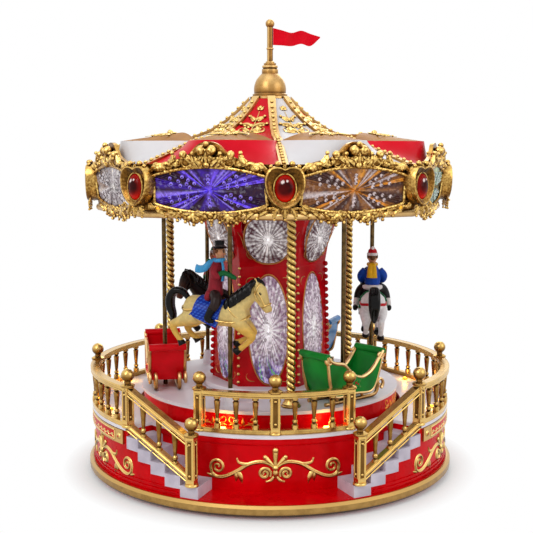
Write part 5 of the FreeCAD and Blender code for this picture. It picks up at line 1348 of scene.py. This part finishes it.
buttons = joined([ball((-3.6 - 0.12 * k, 0, 20.0 + 2.6 * k), 0.55) for k in range(4)])
CHILD_DROP = Matrix.Translation((0.4, 0, -5.6))
cloth_paint = brushed("painted_cloth", 0.5, 0.02)
WHITE_FUR, GREEN_KNIT, SKY_BLUE, BURGUNDY = (236, 228, 226), (16, 96, 48), (74, 168, 226), (146, 34, 46)
body, at, *_ = HORSES["palomino"]
parts = painted(
    at, (head, face_tint), (hair, (110, 60, 26)), (mittens, GREEN_KNIT), (trousers, (44, 30, 28)),
    (boots, BLACK, glossy_hair), (collar, SKY_BLUE), (scarf_ends, SKY_BLUE),
    (long_coat, BURGUNDY, cloth_paint), (tall_hat, BLACK), (hat_band, (70, 60, 60)))
piece("palomino_rider_figure", parts, body, "coat_burgundy", ("palomino_rider",), crease=60)
# Each child: slot, then the paints of jacket, scarf, mittens, legs, cap and hair
CHILDREN = {
    "white": (
        "coat_blue", (20, 70, 170), (234, 176, 24), (150, 20, 30), (22, 20, 22), (196, 16, 30),
        (96, 60, 30)),
    "black": (
        "coat_green", (186, 18, 30), (236, 232, 226), GREEN_KNIT, (40, 50, 90), (20, 100, 52),
        (60, 40, 26))}
for kind, (slot, coat, scarf, mitten, leg, cap_paint, hair_paint) in CHILDREN.items():
    body, at, *_ = HORSES[kind]
    parts = painted(at @ CHILD_DROP, (head, face_tint), (hair, hair_paint), (collar, scarf))
    parts += painted(
        at, (jacket, coat, cloth_paint), (jacket_mittens, mitten), (hem, WHITE_FUR, cloth_paint),
        (trousers, leg), (stockings, WHITE_FUR), (shoes, BLACK, glossy_hair), (shawl_ends, scarf),
        (buttons, GOLD_PAINT, horse_gold), (cap_crown, cap_paint, cloth_paint),
        (cap_top, cap_paint, cloth_paint), (cap_trim, WHITE_FUR, cloth_paint),
        (cap_ball, WHITE_FUR, cloth_paint))
    piece(f"{kind}_rider_figure", parts, body, slot, (f"{kind}_rider",), crease=60)


# Canopy fascia: an eight-sided gold frame cast in plastic with deep leaf work, a crown over each panel,
# ribbed lenses lit in different colours, red stones in heart-shaped settings, and small warm lamps.
satin_gold = antique("satin_gold", (80, 48, 18), (172, 126, 66), (236, 198, 132), 0.34)
frame_gold = antique("frame_gold", (46, 26, 6), (136, 92, 36), (214, 168, 88), grain=1.1)
dress(frame_gold, "fascia_frame")
CANOPY_TURN = 2.1
FASCIA_LOW, FASCIA_HIGH, FOOT_BEAD = (170.0, 111.5), (199.0, 117.0), (111.2, 170.4)
EIGHT_FLAT = math.cos(math.radians(22.5))
STONE_LEVEL, STONE_SEAT, STONE_WIDE, STONE_TALL, STONE_RISE = 186.0, 116.4, 5.6, 7.4, 3.2
LENS_HALF, LENS_END, LENS_TOP, LENS_FOOT = 33.4, 7.4, 12.6, 12.2


def lens_edge(across, rise):
    """Height of the lens above or below its middle: level ends and an arch between them."""
    return LENS_END + (rise - LENS_END) * math.cos(math.pi / 2 * across / LENS_HALF) ** 0.8


def lens_border(turn):
    side, rise = math.cos(turn), math.sin(turn)
    reach = LENS_HALF * math.copysign(min(1.0, abs(side) ** 0.55 * 1.02), side)
    edge = lens_edge(reach, LENS_TOP if rise > 0 else LENS_FOOT)
    return reach, math.copysign(min(edge, edge * abs(rise) ** 0.35 * 1.25), rise)


def acanthus(place, start, heading, length, width, bend=0.0, lift=0.0):
    """A carved leaf: a raised rib, lobes that spread from it in pairs, and a tip rolled into a bud."""
    rib = vine(start, heading, length, bend, bend * 2, 8)
    shells = [stroke(place, rib, width * 0.5, blade, 0.9, lift + width * 0.1, 6)]
    for i in (1, 3, 5):
        way_on = heading + bend * length * i / 8 * (1 + i / 16)
        for way in (-1, 1):
            lobe = vine(
                rib[i], way_on + way * (60 - 5 * i), length * (0.5 - 0.045 * i), -way * 7, -way * 12, 5)
            shells.append(stroke(place, lobe, width * 0.42, blade, 0.75, lift, 6))
    return shells + [boss(place, *rib[-1], width * 0.21, 1.0, 6, lift + width * 0.1)]


def foliage(place, *rows):
    """Carved leaves, one for each row of start, heading, length, width, bend and lift."""
    return [shell for row in rows for shell in acanthus(place, *row)]


def panel_border(place):
    """Mouldings round half a lens, the scroll at its shoulder and the leaves along its edges."""
    shells = []
    for rise, way in ((LENS_TOP, 1), (LENS_FOOT, -1)):
        line = [(LENS_HALF * k / 16, way * (lens_edge(LENS_HALF * k / 16, rise) + 0.7)) for k in range(17)]
        shells.append(stroke(place, line, 2.0, even, 0.9, 1.6))
    end_line = [(LENS_HALF + 0.6, -8.0), (LENS_HALF + 0.1, 0.0), (LENS_HALF + 0.6, 8.0)]
    shells.append(stroke(place, end_line, 1.8, even, 0.9, 1.6))
    shells += relief(
        place, tendril, ((36.0, 8.0), 104, 19, 5.0, 12, 2.8, 1.4),
        ((22.0, 15.4), -8, 9.5, 2, -13, 2.6, 1.4), ((38.0, -9.0), 196, 22, -2.4, 6.5, 2.4, 1.3),
        ((20.0, -13.0), 200, 10.5, 3, 9, 2.6, 1.5))
    shells.append(leaf(place, (25.0, 12.2), 14, 8.5, 4.6, -2, 0.7, 1.6))
    shells += relief(place, boss, (29.5, 12.6, 1.7, 1.0, 8, 2.2), (12.6, -15.6, 1.9, 1.0, 8, 1.8))
    shells += foliage(
        place, ((34.0, 13.0), 168, 9.0, 5.8, 4, 1.2), ((23.5, 14.0), 146, 8.5, 6.2, -5, 1.4),
        ((17.0, 14.0), 30, 7.0, 5.4, -4, 1.4), ((34.0, -11.0), 196, 8.0, 5.2, 3, 1.2),
        ((26.0, -12.2), 192, 8.0, 5.6, 5, 1.4), ((4.0, -12.6), -112, 5.4, 4.6, -4, 1.4))
    for heading, length in ((-158, 7.6), (-122, 7.4), (-90, 7.0), (-58, 7.4), (-22, 7.6)):
        shells += acanthus(place, (10.5, -12.6), heading, length, 5.6, (heading + 90) * 0.06, 1.5)
    for across, up, size in (
            (6.0, -15.0, 3.6), (10.5, -15.6, 4.2), (15.0, -15.0, 3.6), (20.5, -13.6, 2.8),
            (26.0, -12.6, 2.6), (31.5, -11.6, 2.6), (24.0, 13.0, 3.0), (29.5, 12.0, 3.4),
            (19.0, 14.6, 3.0), (13.0, 16.4, 3.8)):
        shells.append(boss(place, across, up, size, 0.5, 10, 0.2))
    return shells


def crown(place):
    """Half of the crest: knobs on stems, ribs fanned above the lens and leaves that climb to the balls."""
    knobs = relief(
        place, boss, (2.9, 22.6, 3.1, 1.0, 12, 1.6), (14.2, 20.2, 2.4, 1.0, 10, 1.4),
        (20.4, 16.9, 1.6, 1.0, 8, 1.4))
    stems = relief(
        place, tendril, ((17.0, 14.2), 118, 6.5, 4, 8, 2.2, 1.4),
        ((2.0, 19.8), -42, 9.5, 2, -5, 2.2, 2.4, 6), ((1.4, 19.2), -72, 5.4, 4, -8, 2.2, 2.6, 6),
        ((9.5, 19.5), -120, 13, 9, 24, 2.2, 1.8))
    return knobs + stems + foliage(
        place, ((2.4, 13.4), 66, 9.0, 6.4, -5, 2.0), ((5.0, 13.2), 34, 9.0, 6.2, 5, 1.6),
        ((8.4, 15.4), 58, 7.0, 5.6, -6, 1.8))


def heart(turn, grow):
    """The outline of a stone's setting, two lobes above and narrower below."""
    lobe = 4.0 * abs(math.sin(turn)) * (1.0 + 0.5 * math.cos(turn))
    return grow * 11.4 * math.sin(turn), grow * (11.2 * math.cos(turn) + lobe - 0.4)


def bezel(place):
    """A setting: a rolled rim round a dished plate, a ring for the stone, knobs above and leaves below."""
    rows = []
    for grow, out in (
            (0.98, -6.5), (1.0, 1.2), (0.96, 2.6), (0.9, 2.9), (0.84, 2.2), (0.62, 0.5), (0.4, 0.35)):
        rows.append([place(*heart(2 * math.pi * k / 44, grow), out) for k in range(44)])
    turns = circle(32)
    shells = [
        ringed(rows), beading(place, [(6.2 * x, 8.0 * y) for x, y in turns + turns[:1]], 1.3, 1.0, 0.6)]
    for way in (-1, 1):
        shells += relief(
            place, boss, (way * 4.0, 13.2, 1.8, 1.0, 8, 0.8), (way * 7.6, 11.8, 1.3, 1.0, 8, 0.6))
        shells.append(beading(place, vine((way * 3.0, 10.2), 90 - way * 12, 3.4, 0, 0, 6), 1.7, 0.9, 0.6))
        shells += foliage(
            place, ((way * 3.0, -10.4), -90 + way * 52, 7.5, 4.0, -way * 5, 0.6),
            ((way * 9.5, -9.0), -90 + way * 40, 6.0, 3.4, way * 6, -0.6))
    return shells + foliage(
        place, ((0.0, -10.0), -90, 7.0, 4.4, 0.0, 0.9), ((0.0, 8.8), 90, 5.0, 3.4, 0.0, 0.8))


# The lamps behind the lenses in turn, each as a bright, a middle, a clear and a dark shade
CLEAR_LAMP = ((240, 236, 232), (166, 154, 158), (214, 208, 210), (96, 84, 88))
LENS_LAMPS = (
    ((226, 150, 50), (142, 92, 50), (212, 196, 196), (78, 50, 40)),
    ((186, 224, 170), (104, 150, 116), (190, 206, 200), (66, 84, 74)), CLEAR_LAMP,
    ((130, 190, 250), (64, 92, 190), (180, 200, 236), (34, 44, 110)),
    ((250, 150, 160), (170, 84, 104), (226, 190, 198), (96, 44, 60)),
    ((250, 200, 90), (166, 116, 60), (210, 196, 186), (84, 60, 44)), CLEAR_LAMP,
    ((126, 90, 255), (62, 30, 150), (150, 124, 250), (42, 18, 52)))


def spoke_tint(place, lights):
    """Each rib of a lens takes its own share of the lamp: bright, middle, clear or dark."""
    back = flattened(place)

    def tint(point):
        across, up = back(point)
        sector = int((math.atan2(up, across) / math.pi + 1) * 44) % 88
        pick = (sector * 7 + sector // 5 * 3 + sector // 11) % 9
        light = lights[(1, 3, 0, 1, 3, 1, 3, 2, 3)[pick]]
        far = min(1.0, math.hypot(across / LENS_HALF, up / LENS_TOP))
        return blend(light, lights[0], max(0.0, 1.0 - far * 3.5))
    return tint


def bubbles(place, spokes, rows):
    """Rows of small bubbles moulded on the ribs of a lens, and a dark spot of painted shade in each."""
    rounds, bubble_shades = [], []
    for k in range(spokes):
        across, up = lens_border(2 * math.pi * (k + 0.5) / spokes)
        for row in range(rows):
            share = 0.34 + 0.17 * row + 0.05 * (k % 3)
            if share < 0.92:
                rounds.append(boss(place, across * share, up * share, 1.15, 0.8, 10, 2.2 - share))
                # Painted shade: a dark spot a little off the middle of each bubble
                bubble_shades.append(
                    boss(place, across * share + 0.15, up * share - 0.15, 0.55, 0.8, 6, 2.9 - share))
    return joined(rounds), joined(bubble_shades)


fascia_lens = lit_lens("fascia_lens", 0.2, 0.12)
ruby = Finish("ruby_stone", Coat_Weight=0.05, Coat_Roughness=0.02, Roughness=0.05, Specular_IOR_Level=0.06)
ruby_tint = ruby.tint()
ruby_cloud = ruby.ramp(ruby.speckle(160), (0.4, NONE), (0.75, FULL))
ruby.feed(Base_Color=ruby.mixed(ruby_cloud * 0.18, ruby_tint, shade(190, 20, 8)))


def stone_face(place):
    """A domed oval stone."""
    turns = circle(56)
    rows = [[place((STONE_WIDE + 0.1) * x, (STONE_TALL + 0.1) * y, 0.1) for x, y in turns]]
    for row in range(18):
        tilt = math.pi / 2 * row / 17.4
        wide, tall = STONE_WIDE * math.cos(tilt), STONE_TALL * math.cos(tilt)
        rows.append([place(wide * x, tall * y, 0.3 + STONE_RISE * math.sin(tilt)) for x, y in turns])
    return ringed(rows)


def stone_tint(place):
    """Painted light in a stone: dark in the middle, bright towards the lower edge where light passes,
    and two painted glints above.
    """
    middle, back = place(0, 0, 2.0), flattened(place, 2.0)

    def tint(point):
        across, up = back(point)
        # Painted glints: two near-white spots stand for highlights
        for painted_glint_across, painted_glint_up, size in ((-1.5, 3.5, 0.95), (1.1, 4.1, 0.6)):
            if math.hypot(across - painted_glint_across, up - painted_glint_up) < size:
                return shade(255, 238, 232)
        reach = (point - middle).length / STONE_TALL
        low = max(0.0, -up / STONE_TALL)
        part = min(1.0, max(0.0, reach * 2.0 - 0.9) * 0.75 + low * low * 0.6)
        return blend(shade(40, 0, 0), shade(226, 26, 6), part)
    return tint


panel_ends = [(height, radius * EIGHT_FLAT) for height, radius in (FASCIA_LOW, FASCIA_HIGH)]
seat_ends = [(STONE_LEVEL + rise, STONE_SEAT) for rise in (-10, 10)]
fascia_ornament, crowns, settings, fascia_lens_parts, stones = [], [], [], [], []
for k, lamps in enumerate(LENS_LAMPS):
    panel = on_plane(CANOPY_TURN + 22.5 + 45 * k, *panel_ends)
    corner = on_plane(CANOPY_TURN + 45 * k, *seat_ends)
    fascia_ornament += both_sides(panel, panel_border) + [boss(panel, 0.0, -14.0, 2.0, 1.0, 10, 1.6)]
    fascia_ornament += acanthus(panel, (0.0, -14.5), -90, 5.5, 3.6, 0.0, 1.2)
    crowns += both_sides(panel, crown) + [boss(panel, 0.0, 26.0, 1.8, 1.0, 10, 1.6)]
    crowns.append(boss(panel, 0.0, 14.6, 2.2, 1.0, 10, 2.4))
    crowns += acanthus(panel, (0.0, 13.0), 90, 10.0, 5.0, 0.0, 2.2)
    settings += bezel(corner)
    lights = [shade(*lamp) for lamp in lamps]
    rounds, bubble_shades = bubbles(panel, 14, 3)
    fascia_lens_parts.append(
        (
            burst(offset(panel, lift=0.5), lens_border, 44, 9, 1.3, 1.0), fascia_lens,
            spoke_tint(panel, lights)))
    fascia_lens_parts += [(rounds, fascia_lens, plain(lights[2])), (bubble_shades, fascia_lens, plain(lights[3]))]
    stones.append((stone_face(corner), ruby, stone_tint(corner)))
chased_gold = antique("chased_gold", (40, 22, 4), (146, 98, 36), (252, 214, 126), grain=1.3)
setting_gold = antique("setting_gold", (36, 20, 4), (128, 86, 32), (232, 190, 106), 0.24, 0.7)
for name, shells, finish in (
        ("fascia_scrolls", fascia_ornament, chased_gold), ("fascia_crowns", crowns, chased_gold),
        ("stone_settings", settings, setting_gold)):
    piece(name, [(joined(shells), finish)])
piece("fascia_lens_bursts", fascia_lens_parts, "base", "clear_lens", ("fascia_lenses",), crease=20)
piece("corner_stones", stones, "base", "ruby", ("cabochons",))
foot_line = [out_at(CANOPY_TURN + 45 * k, *FOOT_BEAD) for k in range(9)]
piece("fascia_foot_bead", [(tube(foot_line, 2.4, 12), satin_gold)])
lamp_glass = Finish("warm_lamp", Roughness=0.2, Emission_Strength=0.9)
lamp_cloud = lamp_glass.speckle(900)
lamp_glass.feed(
    Base_Color=lamp_glass.ramp(lamp_cloud, (0.3, shade(240, 150, 20)), (0.7, shade(250, 196, 50))),
    Emission_Color=lamp_glass.ramp(lamp_cloud, (0.3, shade(240, 140, 10)), (0.7, shade(250, 190, 50))))
dress(lamp_glass, "warm_lamps")


# Roof: eight lobed panels, red and white in turn, under gold studded ribs. A satin gold crescent with a
# rosette lies on each panel, and a spray of leaves climbs from it towards the bell finial.
roof_red = moulded("roof_red", (224, 6, 28), (244, 20, 46), 0.3, coat=0.05, scale=40, gleam=0.12)
roof_white = moulded("roof_white", (240, 238, 242), (250, 249, 252), 0.35, coat=0.1, scale=40)
crescent_gold = moulded("crescent_gold", (168, 110, 48), (200, 142, 72), 0.5, scale=60, gleam=0.08)
dress(roof_red, "roof_red")
dress(roof_white, "roof_white")
dress(crescent_gold, "roof_crescents")
dress(satin_gold, "roof_ribs")
TENT_FOOT, TENT_HEAD, TENT_LOW, TENT_HEIGHT, TENT_HOLLOW, TENT_SLOPE = 66.0, 13.6, 212.5, 27.5, 2.2, 60.0
SKIRT_FOOT, SKIRT_LOW, SKIRT_BULGE, RIB_RISE, STUD_COUNT = 112.0, 197.0, 101.0, 1.6, 14


def tent_point(share):
    """Corner radius and height up the tent."""
    return TENT_FOOT + (TENT_HEAD - TENT_FOOT) * share, TENT_LOW + TENT_HEIGHT * share ** TENT_HOLLOW


def tent_face(middle):
    """Across, up and out on the middle of a tent panel, bent to its hollow; up runs from foot to head."""
    def place(across, up, out):
        share = min(0.98, max(0.0, up / TENT_SLOPE))
        radius, height = tent_point(share)
        after_radius, after_height = tent_point(share + 0.02)
        slope = math.atan2(after_height - height, radius - after_radius)
        flat_radius = radius * EIGHT_FLAT + out * math.sin(slope)
        return about(middle) @ Vector((across, -flat_radius, height + out * math.cos(slope)))
    return place


def roof_spray(place):
    """Half of the spray up a tent panel: three pairs of cut leaves, a curl below and a bud above."""
    shells = foliage(
        place, ((0.6, 28.0), 24, 8.5, 5.0, 5, 0.6), ((0.6, 34.0), 50, 9.0, 5.6, -4, 0.6),
        ((0.4, 41.0), 62, 6.5, 4.4, -4, 0.6))
    curl = vine((0.6, 28.0), -30, 14, 5, 22, 14)
    return shells + [
        stroke(place, curl, 1.6, lift=0.5, sides=6), leaf(place, (0.3, 51.0), 50, 3.4, 2.0, 5, 0.6, 0.6),
        boss(place, 4.6, 46.0, 0.9, 1.0, 6, 0.5)]


def rosette(place):
    shells = [boss(place, 0.0, 11.5, 2.0, 1.0, 10, 0.9)]
    for k in range(7):
        shells.append(leaf(place, (0.0, 11.5), 360 / 7 * k + 90, 4.6, 2.4, 0.0, 0.6, 0.5))
    for heading, length in ((-58, 8.0), (-90, 9.5), (-122, 8.0)):
        shells += acanthus(place, (0.0, 9.0), heading, length, 3.4, (heading + 90) * 0.06, 0.3)
    for way in (-1, 1):
        shells.append(
            tendril(place, (way * 2.0, 9.0), 90 - way * 104, 17, way * 2.0, -way * 13, 1.5, 0.3, 6))
    return shells


crescent_ends = [(TENT_LOW, SKIRT_BULGE - 0.5), (TENT_LOW + 5.5, TENT_FOOT * EIGHT_FLAT)]
roof_leaves, rib_studs = [], []
for k in range(8):
    middle, corner = CANOPY_TURN + 22.5 + 45 * k, CANOPY_TURN + 45 * k
    steep = tent_face(middle)
    roof_leaves += both_sides(steep, roof_spray) + rosette(on_plane(middle, *crescent_ends))
    roof_leaves.append(stroke(steep, [(0.0, 20.0 + 3.0 * i) for i in range(11)], 1.3, stem, 0.8, 0.4, 6))
    roof_leaves.append(boss(steep, 0.0, 53.0, 1.3, 1.0, 8, 0.5))
    rows = [(SKIRT_FOOT - 3.0, SKIRT_LOW + 1.1)] + [tent_point(i / STUD_COUNT) for i in range(STUD_COUNT)]
    rib_studs.append([out_at(corner, radius, height + RIB_RISE + 0.1) for radius, height in rows])
piece("roof_leaf_work", [(joined(roof_leaves), gold)])
grown(
    "rib_studs", bead_tree, rib_studs, {"Bead radius": 0.0012, "Spacing": 0.0048, "Finish": gold.material})


# Bell finial, flag pole and pennant: turned plastic in satin gold with a ball on top, and a red pennant
# cut from thin sheet, waved by hand and glued to the pole.
dress(satin_gold, "bell_finial", "flag_pole")
flag_low, flag_high = (corner * 1000 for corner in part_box("flag"))
PENNANT_HALF, PENNANT_STEPS, PENNANT_ROWS = 0.35, 30, 8


def pennant_sheet():
    """A waved sheet; the heights of its edges are shares of the flag's height at even steps along it."""
    edges = []
    for heights in ((0.98, 0.86, 0.72, 0.84, 0.68, 0.52), (0.08, 0.06, 0.02, 0.14, 0.04, 0.46)):
        line = smooth_line([(i, height, 0) for i, height in enumerate(heights)], 6)
        edges.append([flag_low.z + (flag_high.z - flag_low.z) * point.y for point in line])
    rings = []
    for i, (top, foot) in enumerate(zip(*edges)):
        share = i / PENNANT_STEPS
        x = flag_low.x + (flag_high.x - flag_low.x) * share
        middle = (flag_low.y + flag_high.y) / 2 + 0.9 * math.sin(share * 9.5) * min(1.0, share * 3)
        steps = [k / PENNANT_ROWS for k in range(PENNANT_ROWS + 1)]
        front = [Vector((x, middle - PENNANT_HALF, foot + (top - foot) * step)) for step in steps]
        rings.append(
            front + [Vector((x, middle + PENNANT_HALF, top + (foot - top) * step)) for step in steps])
    return ringed(rings)


flag_red = moulded("flag_red", (220, 0, 22), (240, 6, 36), 0.36, scale=120, gleam=0.1)
piece("pennant", [(pennant_sheet(), flag_red)], "base", "red_gloss", ("flag",))


# Setting: pale floor that runs out into white, soft lamps and the camera at the height of the canopy.
# Camera, glossy and transmitted rays see a white surround; the lamps and a weaker sky light the object.
def seen_rays(tree):
    """One where a ray comes from the camera, a mirror or a glass, else nought."""
    kind = tree.nodes.new("ShaderNodeLightPath")
    total = kind.outputs["Is Camera Ray"]
    for name in ("Is Glossy Ray", "Is Transmission Ray"):
        total = wired(
            tree, "ShaderNodeMath", {"operation": "MAXIMUM"}, {0: total, 1: kind.outputs[name]}, 0)
    return total


FLOOR_HALF, FADE_START, FADE_END, SKY_LIGHT = 6, 0.112, 0.138, 0.42
floor_mesh = bpy.data.meshes.new("floor")
floor_mesh.from_pydata(
    [(FLOOR_HALF * x, FLOOR_HALF * y, 0) for x, y in ((-1, -1), (1, -1), (1, 1), (-1, 1))], [],
    [(0, 1, 2, 3)])
floor = link("floor", floor_mesh)
floor_paint = Finish("floor_paper", Roughness=0.6)
paper = floor_paint.speckle(6)
floor_paint.feed(
    Base_Color=floor_paint.ramp(paper, (0.0, shade(250, 249, 249)), (1.0, shade(253, 252, 252))))
away = floor_paint.add("ShaderNodeVectorMath", {"operation": "LENGTH"}, {0: floor_paint.place}, "Value")
fade = floor_paint.add(
    "ShaderNodeMapRange", {}, {"Value": away, "From Min": FADE_START, "From Max": FADE_END})
seen = Tone(floor_paint, seen_rays(floor_paint.tree))
white_paper = floor_paint.add("ShaderNodeEmission", {}, {"Color": FULL, "Strength": 1.0})
bare_paper = Tone(floor_paint, floor_paint.shader.outputs[0])
blended = floor_paint.add("ShaderNodeMixShader", {}, {0: fade * seen, 1: bare_paper, 2: white_paper})
floor_paint.tree.links.new(blended.socket, floor_paint.tree.nodes["Material Output"].inputs["Surface"])
floor_mesh.materials.append(floor_paint.material)

world = bpy.data.worlds.new("studio")
bpy.context.scene.world = world
world.use_nodes = True
surround = world.node_tree.nodes["Background"]
surround.inputs["Color"].default_value = FULL
levels = {"To Min": SKY_LIGHT, "To Max": 1.0, "Value": seen_rays(world.node_tree)}
world.node_tree.links.new(
    wired(world.node_tree, "ShaderNodeMapRange", {}, levels, 0), surround.inputs["Strength"])

for name, spot, aim, size, power in (
        ("key_lamp", (-0.55, -0.75, 0.75), 0.14, 0.5, 3.2),
        ("fill_lamp", (0.8, -0.5, 0.5), 0.14, 0.7, 2.0), ("back_lamp", (0.2, 0.8, 0.7), 0.16, 0.6, 2.4),
        ("top_lamp", (-0.1, -0.25, 1.1), 0.16, 0.6, 1.0)):
    light = bpy.data.lights.new(name, "AREA")
    light.size = size
    light.energy = power
    holder = link(name, light)
    holder.location = spot
    holder.rotation_euler = (Vector((0, 0, aim)) - Vector(spot)).to_track_quat("-Z", "Y").to_euler()

BULB_LEVEL, BULB_POWER, BULB_COLOUR, BULB_SIZE = 47.5, 0.004, (1.0, 0.55, 0.12), 0.002
for angle, radius in ((20.0, 90.0), (70.62, 108.6), (114.37, 108.6)):
    for way in (-1, 1):
        bulb = bpy.data.lights.new("warm_bulb", "POINT")
        bulb.energy = BULB_POWER
        bulb.color = BULB_COLOUR
        bulb.shadow_soft_size = BULB_SIZE
        link("warm_bulb", bulb).location = out_at(way * angle, radius, BULB_LEVEL) * MILLIMETRE

CAMERA_SPOT = (-0.0219, -0.6596, 0.205)
CAMERA_DIP, CAMERA_SWING, CAMERA_LENS, CAMERA_SENSOR = 6.46, -1.705, 67.54, 36.0
view_camera = bpy.data.cameras.new("photo_camera")
view_camera.sensor_width = CAMERA_SENSOR
view_camera.lens = CAMERA_LENS
holder = link("photo_camera", view_camera)
holder.location = CAMERA_SPOT
holder.rotation_euler = (math.radians(90 - CAMERA_DIP), 0.0, math.radians(CAMERA_SWING))
bpy.context.scene.camera = holder
bpy.context.scene.view_settings.view_transform = "Standard"
